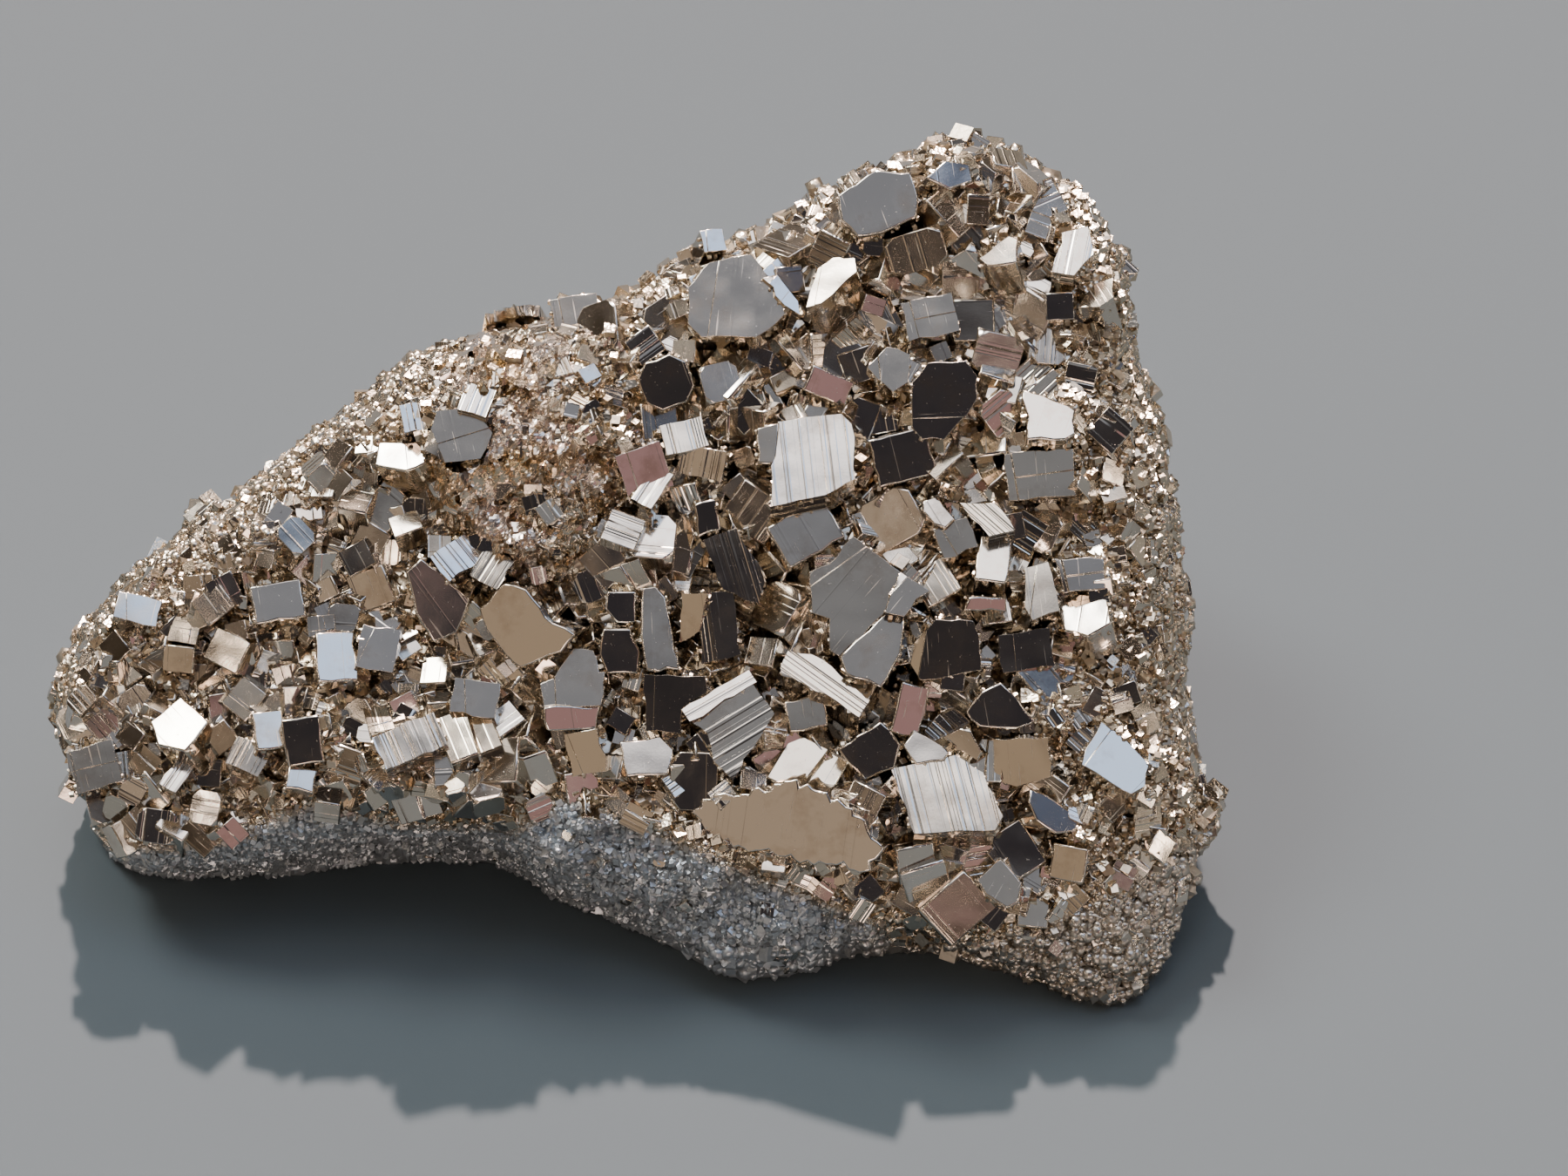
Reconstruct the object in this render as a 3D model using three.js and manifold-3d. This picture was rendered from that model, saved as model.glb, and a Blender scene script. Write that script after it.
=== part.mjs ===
// A loose hand specimen of pyrite: striated cubes and a granular crust, grown together as one piece.
// It lies on a broad flat break, with the face that bears the cubes leaning back.
//
// Everything is first laid out on that face: u runs to the right along it, v runs up its slope and w
// stands out of it. One turn about X then brings the specimen to its resting position, +Z up.
import * as THREE from 'three';
import { mergeVertices } from 'three/addons/utils/BufferGeometryUtils.js';
import Module from 'manifold-3d';

const wasm = await Module();
wasm.setup();

// Driving dimensions, in millimetres and degrees.
const FACE_LEAN = 40; // the cube face, measured back from level
const SPOKES = 88; // stretches of equal length around the girth
const FRONT_RINGS = 10;
const WALL_RINGS = 8;
const HEART = new THREE.Vector2(6, 22); // the spokes meet here
const FACE_LEVEL = 3.0; // the crust between the cubes, above the girth's middle level
const ROUGHNESS = 0.35; // how far a point of the crust strays
const GIRTH_ROUGHNESS = 0.12;
const WALL_TAPER = 0.9; // the wall's foot stands in by this times the root of the wall's height
const WALL_BULGE = 2.0; // how far the middle of the tallest wall swells out
const WALL_LUMPS = [
  // times around, times down, height, phase
  [5, 1.0, 1.0, 0.4],
  [9, -2.5, 0.8, 2.1],
  [17, 4.0, 0.5, 1.2],
];
const WALL_ROUGHNESS = 0.4;
const TALLEST = 28; // of the wall, where it bulges and is lumpy to the full
const MIDDLE = [0.5, 18.5]; // of the specimen on the ground, counted from the foot of the face
const BELOW_GROUND = 1.0; // trimmed off to leave the flat break
const BLOCK = 120; // the trimming block's edge
const RING_BUNCHING = 1.25; // the face's rings stand closer near the girth
const SEED = 4201;
const SPREAD = [0.03, 0.92]; // the shares of a spoke or of the wall's height that bear small cubes
const CORE = [3, 22, -12]; // a point deep inside, towards which they are sunk
const SUNK = 0.3; // as a share of a small cube's size
const LEAST_HEIGHT = 1.5; // of a small cube's middle over the ground, in its own sizes
const FACE_TILT = 0.6; // radians
const WALL_TILT = 1.5;
const LEAST_DEPTH = 2.2; // of a named crystal
const SMALL_CUBES_FRONT = 40;
const SMALL_CUBES_WALL = 50;
const SMALL_CUBE = [1.7, 3.4];
const TRUNCATION = 0.8; // how far out the corner faces of a trimmed cube lie, as a share of its corner

// The girth, clockwise from the left tip: u, v, w, and the width of the rounded margin inside it.
const GIRTH = [
  [-30.1, 14.5, -3.7, 3.0],
  [-28.8, 18.9, -3.5, 2.8],
  [-25.0, 22.9, -3.1, 2.6],
  [-20.8, 26.0, -2.7, 2.6],
  [-16.6, 29.1, -2.4, 2.6],
  [-13.1, 31.8, -2.2, 2.6],
  [-9.5, 34.2, -1.9, 3.2],
  [-5.3, 34.9, -1.8, 3.2],
  [-0.7, 36.4, -1.6, 2.6],
  [2.2, 38.8, -1.6, 2.6],
  [6.2, 39.8, -1.6, 2.6],
  [9.1, 41.7, -1.7, 2.6],
  [13.3, 43.4, -1.6, 2.6],
  [16.2, 45.3, -1.5, 2.6],
  [19.0, 45.0, -1.7, 2.8],
  [22.1, 43.1, -1.8, 3.0],
  [24.6, 40.4, -2.0, 3.0],
  [26.2, 36.2, -2.3, 3.0],
  [26.3, 34.0, -2.4, 3.0],
  [27.9, 30.0, -2.7, 3.0],
  [28.8, 23.8, -2.7, 3.2],
  [29.1, 18.5, -2.5, 3.4],
  [28.9, 15.4, -2.2, 3.4],
  [30.1, 9.6, -1.5, 4.0],
  [29.1, 6.1, -0.6, 4.6],
  [27.2, 1.7, 0.1, 5.4],
  [24.8, 0.0, 0.4, 6.2],
  [20.8, 1.6, -0.3, 3.6],
  [15.7, 3.5, -0.3, 1.8],
  [11.5, 3.1, -0.4, 2.6],
  [8.8, 1.6, -0.6, 5.0],
  [5.5, 1.2, -0.9, 6.6],
  [2.4, 3.1, -1.7, 6.2],
  [-1.1, 4.9, -2.3, 5.8],
  [-4.2, 6.1, -2.4, 4.4],
  [-6.9, 8.5, -3.0, 2.0],
  [-12.6, 8.7, -3.4, 1.8],
  [-18.4, 7.1, -4.0, 2.4],
  [-24.6, 6.3, -4.9, 2.8],
  [-27.6, 8.2, -4.9, 3.0],
  [-29.5, 12.1, -4.3, 3.0],
];

// Swells and hollows of the face: middle u and v, reach along u and v, height.
const SWELLS = [
  [-5.5, 29.1, 5.2, 4.8, 2.6], // granular hump
  [-9.5, 13.2, 7.0, 2.4, 1.8], // ridge above the left arch
  [7.3, 20.7, 4.5, 4.5, -1.8], // hollow among the large cubes
  [8.2, 9.4, 6.0, 3.4, 2.0], // bulge over the lobe
  [5.6, 2.6, 3.2, 1.8, 0.9], // the lobe itself
  [17.0, 40.0, 5.0, 3.5, 0.8], // upper crest
];
const FALLS = { top: [25, 0.06], left: [-15, 0.12], right: [24, 0.28] }; // from where, and how steep

// How a crystal's front face leans, to the right and then up, as seen square to the cube face.
const FACINGS = {
  level: [0, 0],
  down: [2, -10],
  up: [0, 18],
  high: [-2, 27],
  upRight: [12, 22],
  upLeft: [-14, 34],
  left: [-14, -8],
  right: [14, -8],
  side: [28, 5],
};

// The named crystals: u, v, width, height, facing, turn, and how far the front stands above the crust.
const CRYSTALS = [
  // upper crest, left to right
  [-2.4, 35.6, 2.6, 1.8, 'up', 10, 0.4],
  [2.2, 31.8, 2.6, 2.6, 'level', 20, 0.8],
  [5.8, 36.0, 4.9, 4.3, 'up', -5, 1.0],
  [12.8, 41.2, 4.0, 3.2, 'up', 20, 0.9],
  [11.0, 37.4, 2.0, 1.9, 'upLeft', -20, 0.9],
  [16.9, 42.5, 2.6, 2.0, 'upRight', 8, 0.7],
  [19.1, 38.4, 2.1, 1.4, 'upLeft', 30, 0.8],
  [22.6, 38.4, 2.2, 2.5, 'high', -12, 0.7],
  [24.3, 36.4, 1.8, 1.5, 'upLeft', 24, 0.6],
  [15.6, 35.1, 2.6, 2.0, 'up', 12, 0.8],
  [13.5, 32.9, 2.2, 2.6, 'up', -6, 0.8],
  // right of the middle
  [9.3, 28.0, 4.9, 4.6, 'high', 8, 1.6],
  [16.2, 31.1, 3.5, 4.1, 'level', 3, 1.4],
  [21.7, 30.1, 2.8, 2.6, 'high', -20, 1.1],
  [21.2, 27.1, 4.0, 2.6, 'left', 4, 0.6],
  [14.2, 28.0, 3.0, 2.5, 'down', 14, 0.6],
  [18.4, 24.7, 2.4, 1.8, 'high', -25, 0.9],
  [18.8, 22.4, 1.6, 2.6, 'high', -8, 0.8],
  [21.0, 20.8, 1.8, 2.8, 'high', 6, 0.8],
  [23.3, 22.0, 2.8, 2.0, 'up', 4, 0.7],
  [23.4, 20.0, 2.9, 2.2, 'upLeft', -10, 0.8],
  [20.5, 18.2, 2.6, 1.9, 'down', 8, 0.7],
  // the large cubes of the middle
  [12.2, 21.8, 4.9, 4.0, 'up', -40, 1.7],
  [12.2, 19.2, 3.6, 4.2, 'up', -15, 1.6],
  [9.3, 24.2, 3.2, 2.4, 'up', 30, 1.4],
  [5.8, 22.9, 2.2, 4.2, 'level', 17, 1.6],
  [4.4, 19.4, 2.6, 4.0, 'side', 8, 1.9],
  [1.8, 18.9, 2.3, 4.2, 'level', 2, 1.3],
  [3.9, 24.9, 1.8, 3.0, 'down', 4, 1.0],
  [1.1, 27.3, 2.4, 2.4, 'right', 18, 0.8],
  [4.0, 27.8, 2.4, 1.6, 'left', -12, 0.8],
  [-0.2, 20.4, 1.8, 1.9, 'down', 6, 0.9],
  [-0.2, 17.9, 2.1, 2.5, 'level', 10, 0.9],
  [2.6, 15.7, 3.5, 3.1, 'down', 4, 1.2],
  [-2.6, 16.4, 3.4, 3.8, 'up', 8, 1.0],
  [-5.0, 19.3, 4.0, 3.7, 'left', 33, 1.4],
  [-9.5, 21.2, 2.8, 3.2, 'right', 35, 1.0],
  [10.2, 16.3, 5.3, 1.7, 'high', -33, 1.5],
  [5.0, 15.5, 4.6, 1.4, 'high', 33, 1.2],
  [6.0, 13.6, 4.5, 2.2, 'high', 33, 1.1],
  [16.4, 18.0, 3.3, 3.4, 'down', 4, 1.2],
  [13.0, 12.8, 3.2, 2.6, 'level', 35, 0.9],
  [19.2, 15.2, 3.6, 2.3, 'down', 10, 0.9],
  [20.1, 12.9, 3.3, 2.2, 'left', 6, 0.7],
  [14.4, 15.1, 1.7, 2.4, 'right', -14, 0.8],
  // along the ledge
  [8.4, 9.6, 9.3, 4.4, 'left', -5, 0.4],
  [16.3, 10.5, 4.6, 3.5, 'high', 8, 1.1],
  [25.0, 12.8, 3.4, 2.4, 'upRight', -43, 1.1],
  [22.5, 9.9, 3.2, 2.2, 'upRight', -35, 0.9],
  [19.2, 6.8, 2.4, 2.6, 'up', -30, 0.7],
  [1.2, 12.8, 2.9, 2.2, 'high', 4, 0.7],
  [-1.9, 13.0, 1.8, 2.2, 'left', 12, 0.6],
  [-7.5, 15.8, 2.3, 1.8, 'up', -8, 0.6],
  [-10.8, 13.6, 3.3, 1.8, 'left', 24, 0.6],
  // hump and left arm
  [-8.4, 29.1, 3.6, 2.8, 'up', 14, 0.5],
  [-11.3, 28.2, 2.8, 1.6, 'upLeft', 8, 0.5],
  [-14.5, 17.9, 2.0, 2.6, 'upRight', 6, 0.7],
  [-12.4, 18.3, 1.9, 2.2, 'up', -10, 0.7],
  [-16.2, 13.6, 1.9, 2.4, 'level', 8, 0.7],
  [-17.9, 14.2, 1.6, 2.0, 'upRight', 12, 0.8],
  [-22.6, 14.5, 2.6, 2.6, 'upLeft', 40, 1.0],
  [-19.0, 12.8, 1.8, 1.5, 'high', -24, 0.7],
  [-26.8, 12.3, 3.2, 3.0, 'left', 16, 0.7],
  [-17.5, 20.7, 2.6, 2.0, 'up', 10, 0.6],
  [-24.6, 20.3, 2.2, 1.4, 'upRight', -10, 0.5],
];
const TRIMMED = new Set([2, 12]); // the rows above whose corners are cut off by growth faces

// Even numbers between 0 and 1 from the minimal-standard generator, the same on every run.
function seededRandom(seed) {
  let state = seed;
  return () => {
    state = (state * 16807) % 2147483647;
    return state / 2147483647;
  };
}

const random = seededRandom(SEED);
const between = (low, high) => low + (high - low) * random();

// The girth's points at equal steps along it, each with its w and its margin's width.
function evenGirth() {
  const lengths = [0];
  for (let i = 1; i <= GIRTH.length; i++) {
    const [a, b] = [GIRTH[i - 1], GIRTH[i % GIRTH.length]];
    lengths.push(lengths[i - 1] + Math.hypot(b[0] - a[0], b[1] - a[1], b[2] - a[2]));
  }
  const points = [];
  let row = 0;
  for (let s = 0; s < SPOKES; s++) {
    const length = (lengths[GIRTH.length] * s) / SPOKES;
    while (lengths[row + 1] <= length) row++;
    const share = (length - lengths[row]) / (lengths[row + 1] - lengths[row]);
    const [a, b] = [GIRTH[row], GIRTH[(row + 1) % GIRTH.length]];
    points.push(a.map((value, k) => THREE.MathUtils.lerp(value, b[k], share)));
  }
  return points;
}

// The shortest way from a point of the face to the outline, seen square to the face.
function margin(u, v, outline) {
  const point = new THREE.Vector3(u, v, 0);
  const nearest = new THREE.Vector3();
  let shortest = Infinity;
  outline.forEach(([u1, v1], i) => {
    const [u2, v2] = outline[(i + 1) % outline.length];
    const side = new THREE.Line3(new THREE.Vector3(u1, v1, 0), new THREE.Vector3(u2, v2, 0));
    side.closestPointToPoint(point, true, nearest);
    shortest = Math.min(shortest, nearest.distanceTo(point));
  });
  return shortest;
}

// The level of the crust at a point of the face, away from the rounded margin.
function relief(u, v) {
  let w = FACE_LEVEL;
  for (const [um, vm, ru, rv, height] of SWELLS) {
    w += height * Math.exp(-(((u - um) / ru) ** 2) - ((v - vm) / rv) ** 2);
  }
  w -= FALLS.top[1] * Math.max(0, v - FALLS.top[0]);
  w -= FALLS.left[1] * Math.max(0, FALLS.left[0] - u);
  w -= FALLS.right[1] * Math.max(0, u - FALLS.right[0]);
  return w;
}

// The rounded margin: 0 at the outline, 1 where the face proper begins.
const roll = (distance, width) => Math.sqrt(1 - (1 - Math.min(1, distance / width)) ** 2);

// A point laid out on the face, brought to where it stands.
const STANDING = new THREE.Matrix4().makeRotationX(THREE.MathUtils.degToRad(FACE_LEAN));
const stand = (u, v, w) => new THREE.Vector3(u, v, w).applyMatrix4(STANDING);

// The shape of the rough body: the crust's level on the face, and the wall under the girth.
function bodyShape() {
  const outline = evenGirth();
  const level = (u, v, girthLevel, width) =>
    THREE.MathUtils.lerp(girthLevel, relief(u, v), roll(margin(u, v, outline), width));
  const spokePoint = (i, share) => {
    const [gu, gv, gw, width] = outline[i];
    const u = THREE.MathUtils.lerp(gu, HEART.x, share);
    const v = THREE.MathUtils.lerp(gv, HEART.y, share);
    return [u, v, level(u, v, gw, width)];
  };
  const middle = stand(HEART.x, HEART.y, 0);
  const wallPoint = (i, down) => {
    const top = stand(...outline[i].slice(0, 3));
    const inwards = new THREE.Vector3(middle.x - top.x, middle.y - top.y, 0).normalize();
    const tall = Math.max(0, top.z) / TALLEST;
    const around = (i / SPOKES) * 2 * Math.PI;
    let shift = WALL_TAPER * Math.sqrt(Math.max(0, top.z)) * down;
    shift -= WALL_BULGE * tall * Math.sin(Math.PI * down);
    for (const [turns, dips, height, phase] of WALL_LUMPS) {
      shift += height * tall * Math.sin(turns * around + dips * Math.PI * down + phase) * Math.sqrt(down);
    }
    const z = THREE.MathUtils.lerp(top.z, -BELOW_GROUND, down);
    return new THREE.Vector3(top.x, top.y, z).addScaledVector(inwards, shift);
  };
  return { outline, level, spokePoint, wallPoint, middle };
}

// The rough body: rings on the face and rings down the wall, which share the girth.
function body({ outline, spokePoint, wallPoint, middle }) {
  const positions = [];
  const faces = [];
  const addRing = (pointAt) => {
    const first = positions.length / 3;
    for (let i = 0; i < SPOKES; i++) positions.push(...pointAt(i).toArray());
    return first;
  };
  const stray = (point, size) => {
    const [x, y, z] = [between(-size, size), between(-size, size), between(-size, size)];
    return point.add(new THREE.Vector3(x, y, z));
  };
  const join = (upper, lower) => {
    for (let i = 0; i < SPOKES; i++) {
      const next = (i + 1) % SPOKES;
      faces.push(upper + i, lower + next, lower + i, upper + i, upper + next, lower + next);
    }
  };
  const close = (ring, point, above) => {
    const tip = positions.length / 3;
    positions.push(...point.toArray());
    for (let i = 0; i < SPOKES; i++) {
      const next = (i + 1) % SPOKES;
      faces.push(...(above ? [ring + i, tip, ring + next] : [ring + i, ring + next, tip]));
    }
  };
  const girth = addRing((i) => stray(stand(...outline[i].slice(0, 3)), GIRTH_ROUGHNESS));
  let lower = girth;
  for (let k = 1; k < FRONT_RINGS; k++) {
    const share = (k / FRONT_RINGS) ** RING_BUNCHING;
    const upper = addRing((i) => stray(stand(...spokePoint(i, share)), ROUGHNESS));
    join(upper, lower);
    lower = upper;
  }
  close(lower, stand(...spokePoint(0, 1)), true);
  let upper = girth;
  for (let k = 1; k <= WALL_RINGS; k++) {
    const tallness = (i) => THREE.MathUtils.smoothstep(stand(...outline[i].slice(0, 3)).z, 2, 8);
    const size = k < WALL_RINGS ? WALL_ROUGHNESS : 0;
    lower = addRing((i) => stray(wallPoint(i, k / WALL_RINGS), size * tallness(i)));
    join(upper, lower);
    upper = lower;
  }
  close(upper, new THREE.Vector3(middle.x, middle.y, -BELOW_GROUND), false);
  const geometry = new THREE.BufferGeometry();
  geometry.setAttribute('position', new THREE.Float32BufferAttribute(positions, 3));
  geometry.setIndex(faces);
  return geometry;
}

// A geometry as a solid that can be joined and cut.
function solid(geometry) {
  geometry.deleteAttribute('normal');
  geometry.deleteAttribute('uv');
  const merged = mergeVertices(geometry, 1e-5);
  const vertProperties = new Float32Array(merged.attributes.position.array);
  const triVerts = new Uint32Array(merged.index.array);
  return new wasm.Manifold(new wasm.Mesh({ numProp: 3, vertProperties, triVerts }));
}

// A crystal of the given size, its front face at the origin and its length behind it.
function crystalForm(width, height, depth, trimmed) {
  const box = new THREE.BoxGeometry(width, height, depth).translate(0, 0, -depth / 2);
  if (!trimmed) return box;
  const reach = (TRUNCATION * (width + height + depth)) / 2;
  const corners = new THREE.OctahedronGeometry(reach, 0).translate(0, 0, -depth / 2);
  return solid(box).intersect(solid(corners));
}

function placed(form, turning, place) {
  const matrix = new THREE.Matrix4().makeRotationFromEuler(turning).setPosition(...place);
  matrix.premultiply(STANDING);
  if (form.isBufferGeometry) return solid(form.applyMatrix4(matrix));
  return form.transform(matrix.toArray());
}

// The named crystals, each leaning and turned as its row says.
function namedCrystals({ outline, level }) {
  const { degToRad } = THREE.MathUtils;
  return CRYSTALS.map(([u, v, width, height, facing, turn, proud], i) => {
    const distances = outline.map(([gu, gv]) => Math.hypot(gu - u, gv - v));
    const [, , girthLevel, marginWidth] = outline[distances.indexOf(Math.min(...distances))];
    const [right, up] = FACINGS[facing].map(degToRad);
    const turning = new THREE.Euler(-up, right, degToRad(turn), 'XYZ');
    const depth = Math.max(Math.min(width, height), LEAST_DEPTH);
    const front = new THREE.Vector3(0, 0, proud).applyEuler(turning);
    const place = [u + front.x, v + front.y, level(u, v, girthLevel, marginWidth) + front.z];
    return placed(crystalForm(width, height, depth, TRIMMED.has(i)), turning, place);
  });
}

// Cubes of the crust, spread over the face or the wall in no order.
function smallCubes(count, pointAt, tilt) {
  const cubes = [];
  for (let n = 0; n < count; n++) {
    const place = pointAt(Math.floor(between(0, SPOKES)), between(...SPREAD));
    const size = between(...SMALL_CUBE);
    const turning = new THREE.Euler(between(-tilt, tilt), between(-tilt, tilt), between(0, Math.PI / 2));
    const inwards = new THREE.Vector3(...CORE).sub(new THREE.Vector3(...place)).setLength(size * SUNK);
    place.forEach((value, k) => (place[k] = value + inwards.getComponent(k)));
    if (stand(...place).z < LEAST_HEIGHT * size) continue;
    cubes.push(placed(new THREE.BoxGeometry(size, size * 0.9, size), turning, place));
  }
  return cubes;
}

// The whole specimen as one solid, stood on its flat break.
function specimen() {
  const shape = bodyShape();
  const laidOut = new THREE.Matrix4().copy(STANDING).invert();
  const onWall = (i, down) => shape.wallPoint(i, down).applyMatrix4(laidOut).toArray();
  const crystals = [
    ...namedCrystals(shape),
    ...smallCubes(SMALL_CUBES_FRONT, shape.spokePoint, FACE_TILT),
    ...smallCubes(SMALL_CUBES_WALL, onWall, WALL_TILT),
  ];
  let whole = solid(body(shape));
  for (const crystal of crystals) whole = whole.add(crystal);
  const block = new THREE.BoxGeometry(BLOCK, BLOCK, BLOCK).translate(0, 0, BLOCK / 2);
  whole = whole.intersect(solid(block));
  const shells = whole.decompose(); // the outside, and any space closed in among the crystals
  const outside = shells.reduce((a, b) => (a.volume() > b.volume() ? a : b));
  const mesh = outside.getMesh();
  const result = new THREE.BufferGeometry();
  result.setAttribute('position', new THREE.Float32BufferAttribute(mesh.vertProperties, 3));
  result.setIndex([...mesh.triVerts]);
  result.translate(-MIDDLE[0], -MIDDLE[1], 0);
  result.computeVertexNormals();
  return result;
}

const pyrite = new THREE.MeshStandardMaterial({
  name: 'pyrite',
  color: '#b9ab8a',
  metalness: 1.0,
  roughness: 0.25,
  flatShading: true,
});

const group = new THREE.Group();
const cluster = new THREE.Mesh(specimen(), pyrite);
cluster.name = 'pyrite_cluster';
group.add(cluster);

export default group;
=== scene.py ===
# A loose hand specimen of pyrite: striated cubes and a granular crust, grown together as one piece.
#
# The face that bears the cubes leans back. Places on it are given as u to the right, v up its slope and
# w out of it, in millimetres, and are brought to the resting position by one turn about X.
import math

import bpy
import numpy as np
from mathutils import Matrix, Quaternion, Vector
from mathutils.kdtree import KDTree


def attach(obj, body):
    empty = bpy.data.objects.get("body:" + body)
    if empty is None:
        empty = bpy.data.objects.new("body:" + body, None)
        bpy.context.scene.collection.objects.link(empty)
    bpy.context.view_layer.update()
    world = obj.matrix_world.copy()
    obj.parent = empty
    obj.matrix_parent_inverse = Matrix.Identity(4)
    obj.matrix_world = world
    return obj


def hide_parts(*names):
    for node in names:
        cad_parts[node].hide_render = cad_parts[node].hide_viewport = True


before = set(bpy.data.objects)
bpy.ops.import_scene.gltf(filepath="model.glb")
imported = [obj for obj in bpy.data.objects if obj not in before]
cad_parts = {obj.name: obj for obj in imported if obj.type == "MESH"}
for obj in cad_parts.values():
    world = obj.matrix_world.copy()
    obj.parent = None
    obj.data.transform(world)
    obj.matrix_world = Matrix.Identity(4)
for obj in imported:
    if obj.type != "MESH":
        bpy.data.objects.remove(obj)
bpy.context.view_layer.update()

MM = 0.001
NODE = "pyrite_cluster"

# The specimen's own frame, as in its solid.
FACE_LEAN = math.radians(40)
MIDDLE = np.array((0.5, 18.5, 0.0))
TURN = np.array(Matrix.Rotation(FACE_LEAN, 3, "X"))
FACE_LEVEL = 3.0
SPOKES = 88

# The camera, square to the face as the photograph is.
CAMERA_AIM = np.array((8.19, 21.37, 0.0))
CAMERA_AWAY = 221.0
LENS = 100.0

# The girth, clockwise from the left tip: u, v, w, and the width of the rounded margin inside it.
GIRTH = [
    (-30.1, 14.5, -3.7, 3.0), (-28.8, 18.9, -3.5, 2.8), (-25.0, 22.9, -3.1, 2.6), (-20.8, 26.0, -2.7, 2.6),
    (-16.6, 29.1, -2.4, 2.6), (-13.1, 31.8, -2.2, 2.6), (-9.5, 34.2, -1.9, 3.2), (-5.3, 34.9, -1.8, 3.2),
    (-0.7, 36.4, -1.6, 2.6), (2.2, 38.8, -1.6, 2.6), (6.2, 39.8, -1.6, 2.6), (9.1, 41.7, -1.7, 2.6),
    (13.3, 43.4, -1.6, 2.6), (16.2, 45.3, -1.5, 2.6), (19.0, 45.0, -1.7, 2.8), (22.1, 43.1, -1.8, 3.0),
    (24.6, 40.4, -2.0, 3.0), (26.2, 36.2, -2.3, 3.0), (26.3, 34.0, -2.4, 3.0), (27.9, 30.0, -2.7, 3.0),
    (28.8, 23.8, -2.7, 3.2), (29.1, 18.5, -2.5, 3.4), (28.9, 15.4, -2.2, 3.4), (30.1, 9.6, -1.5, 4.0),
    (29.1, 6.1, -0.6, 4.6), (27.2, 1.7, 0.1, 5.4), (24.8, 0.0, 0.4, 6.2), (20.8, 1.6, -0.3, 3.6),
    (15.7, 3.5, -0.3, 1.8), (11.5, 3.1, -0.4, 2.6), (8.8, 1.6, -0.6, 5.0), (5.5, 1.2, -0.9, 6.6),
    (2.4, 3.1, -1.7, 6.2), (-1.1, 4.9, -2.3, 5.8), (-4.2, 6.1, -2.4, 4.4), (-6.9, 8.5, -3.0, 2.0),
    (-12.6, 8.7, -3.4, 1.8), (-18.4, 7.1, -4.0, 2.4), (-24.6, 6.3, -4.9, 2.8), (-27.6, 8.2, -4.9, 3.0),
    (-29.5, 12.1, -4.3, 3.0),
]

# Swells and hollows of the face: middle u and v, reach along u and v, height.
SWELLS = [
    (-5.5, 29.1, 5.2, 4.8, 2.6),
    (-9.5, 13.2, 7.0, 2.4, 1.8),
    (7.3, 20.7, 4.5, 4.5, -1.8),
    (8.2, 9.4, 6.0, 3.4, 2.0),
    (5.6, 2.6, 3.2, 1.8, 0.9),
    (17.0, 40.0, 5.0, 3.5, 0.8),
]
TOP_FALL = (25, 0.06)
LEFT_FALL = (-15, 0.12)
RIGHT_FALL = (24, 0.28)

# The ledge where the crystals end and the fine grey chin begins, u and v.
LEDGE = [
    (-31.0, 8.5), (-26.0, 8.5), (-20.0, 9.0), (-15.4, 10.9), (-11.7, 9.9), (-5.2, 9.6), (-2.7, 11.2),
    (2.5, 9.2), (6.0, 7.6), (12.5, 5.0), (14.4, 3.5), (18.2, 4.0), (22.2, 5.3), (25.3, 6.4), (28.4, 8.8),
]

# How a crystal's front face leans, to the right and then up, in degrees, seen square to the face.
FACINGS = {
    "black": (0, -6),
    "dark": (2, 3),
    "dull": (0, 10),
    "grey": (1, 14),
    "pale": (0, 19),
    "fair": (1, 21),
    "bright": (0, 25),
    "white": (-14, 34),
    "blue": (13, 22),
    "slate": (20, 14),
    "tan": (-15, -8),
    "rose": (15, -8),
    "wine": (11, -7),
}

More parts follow.
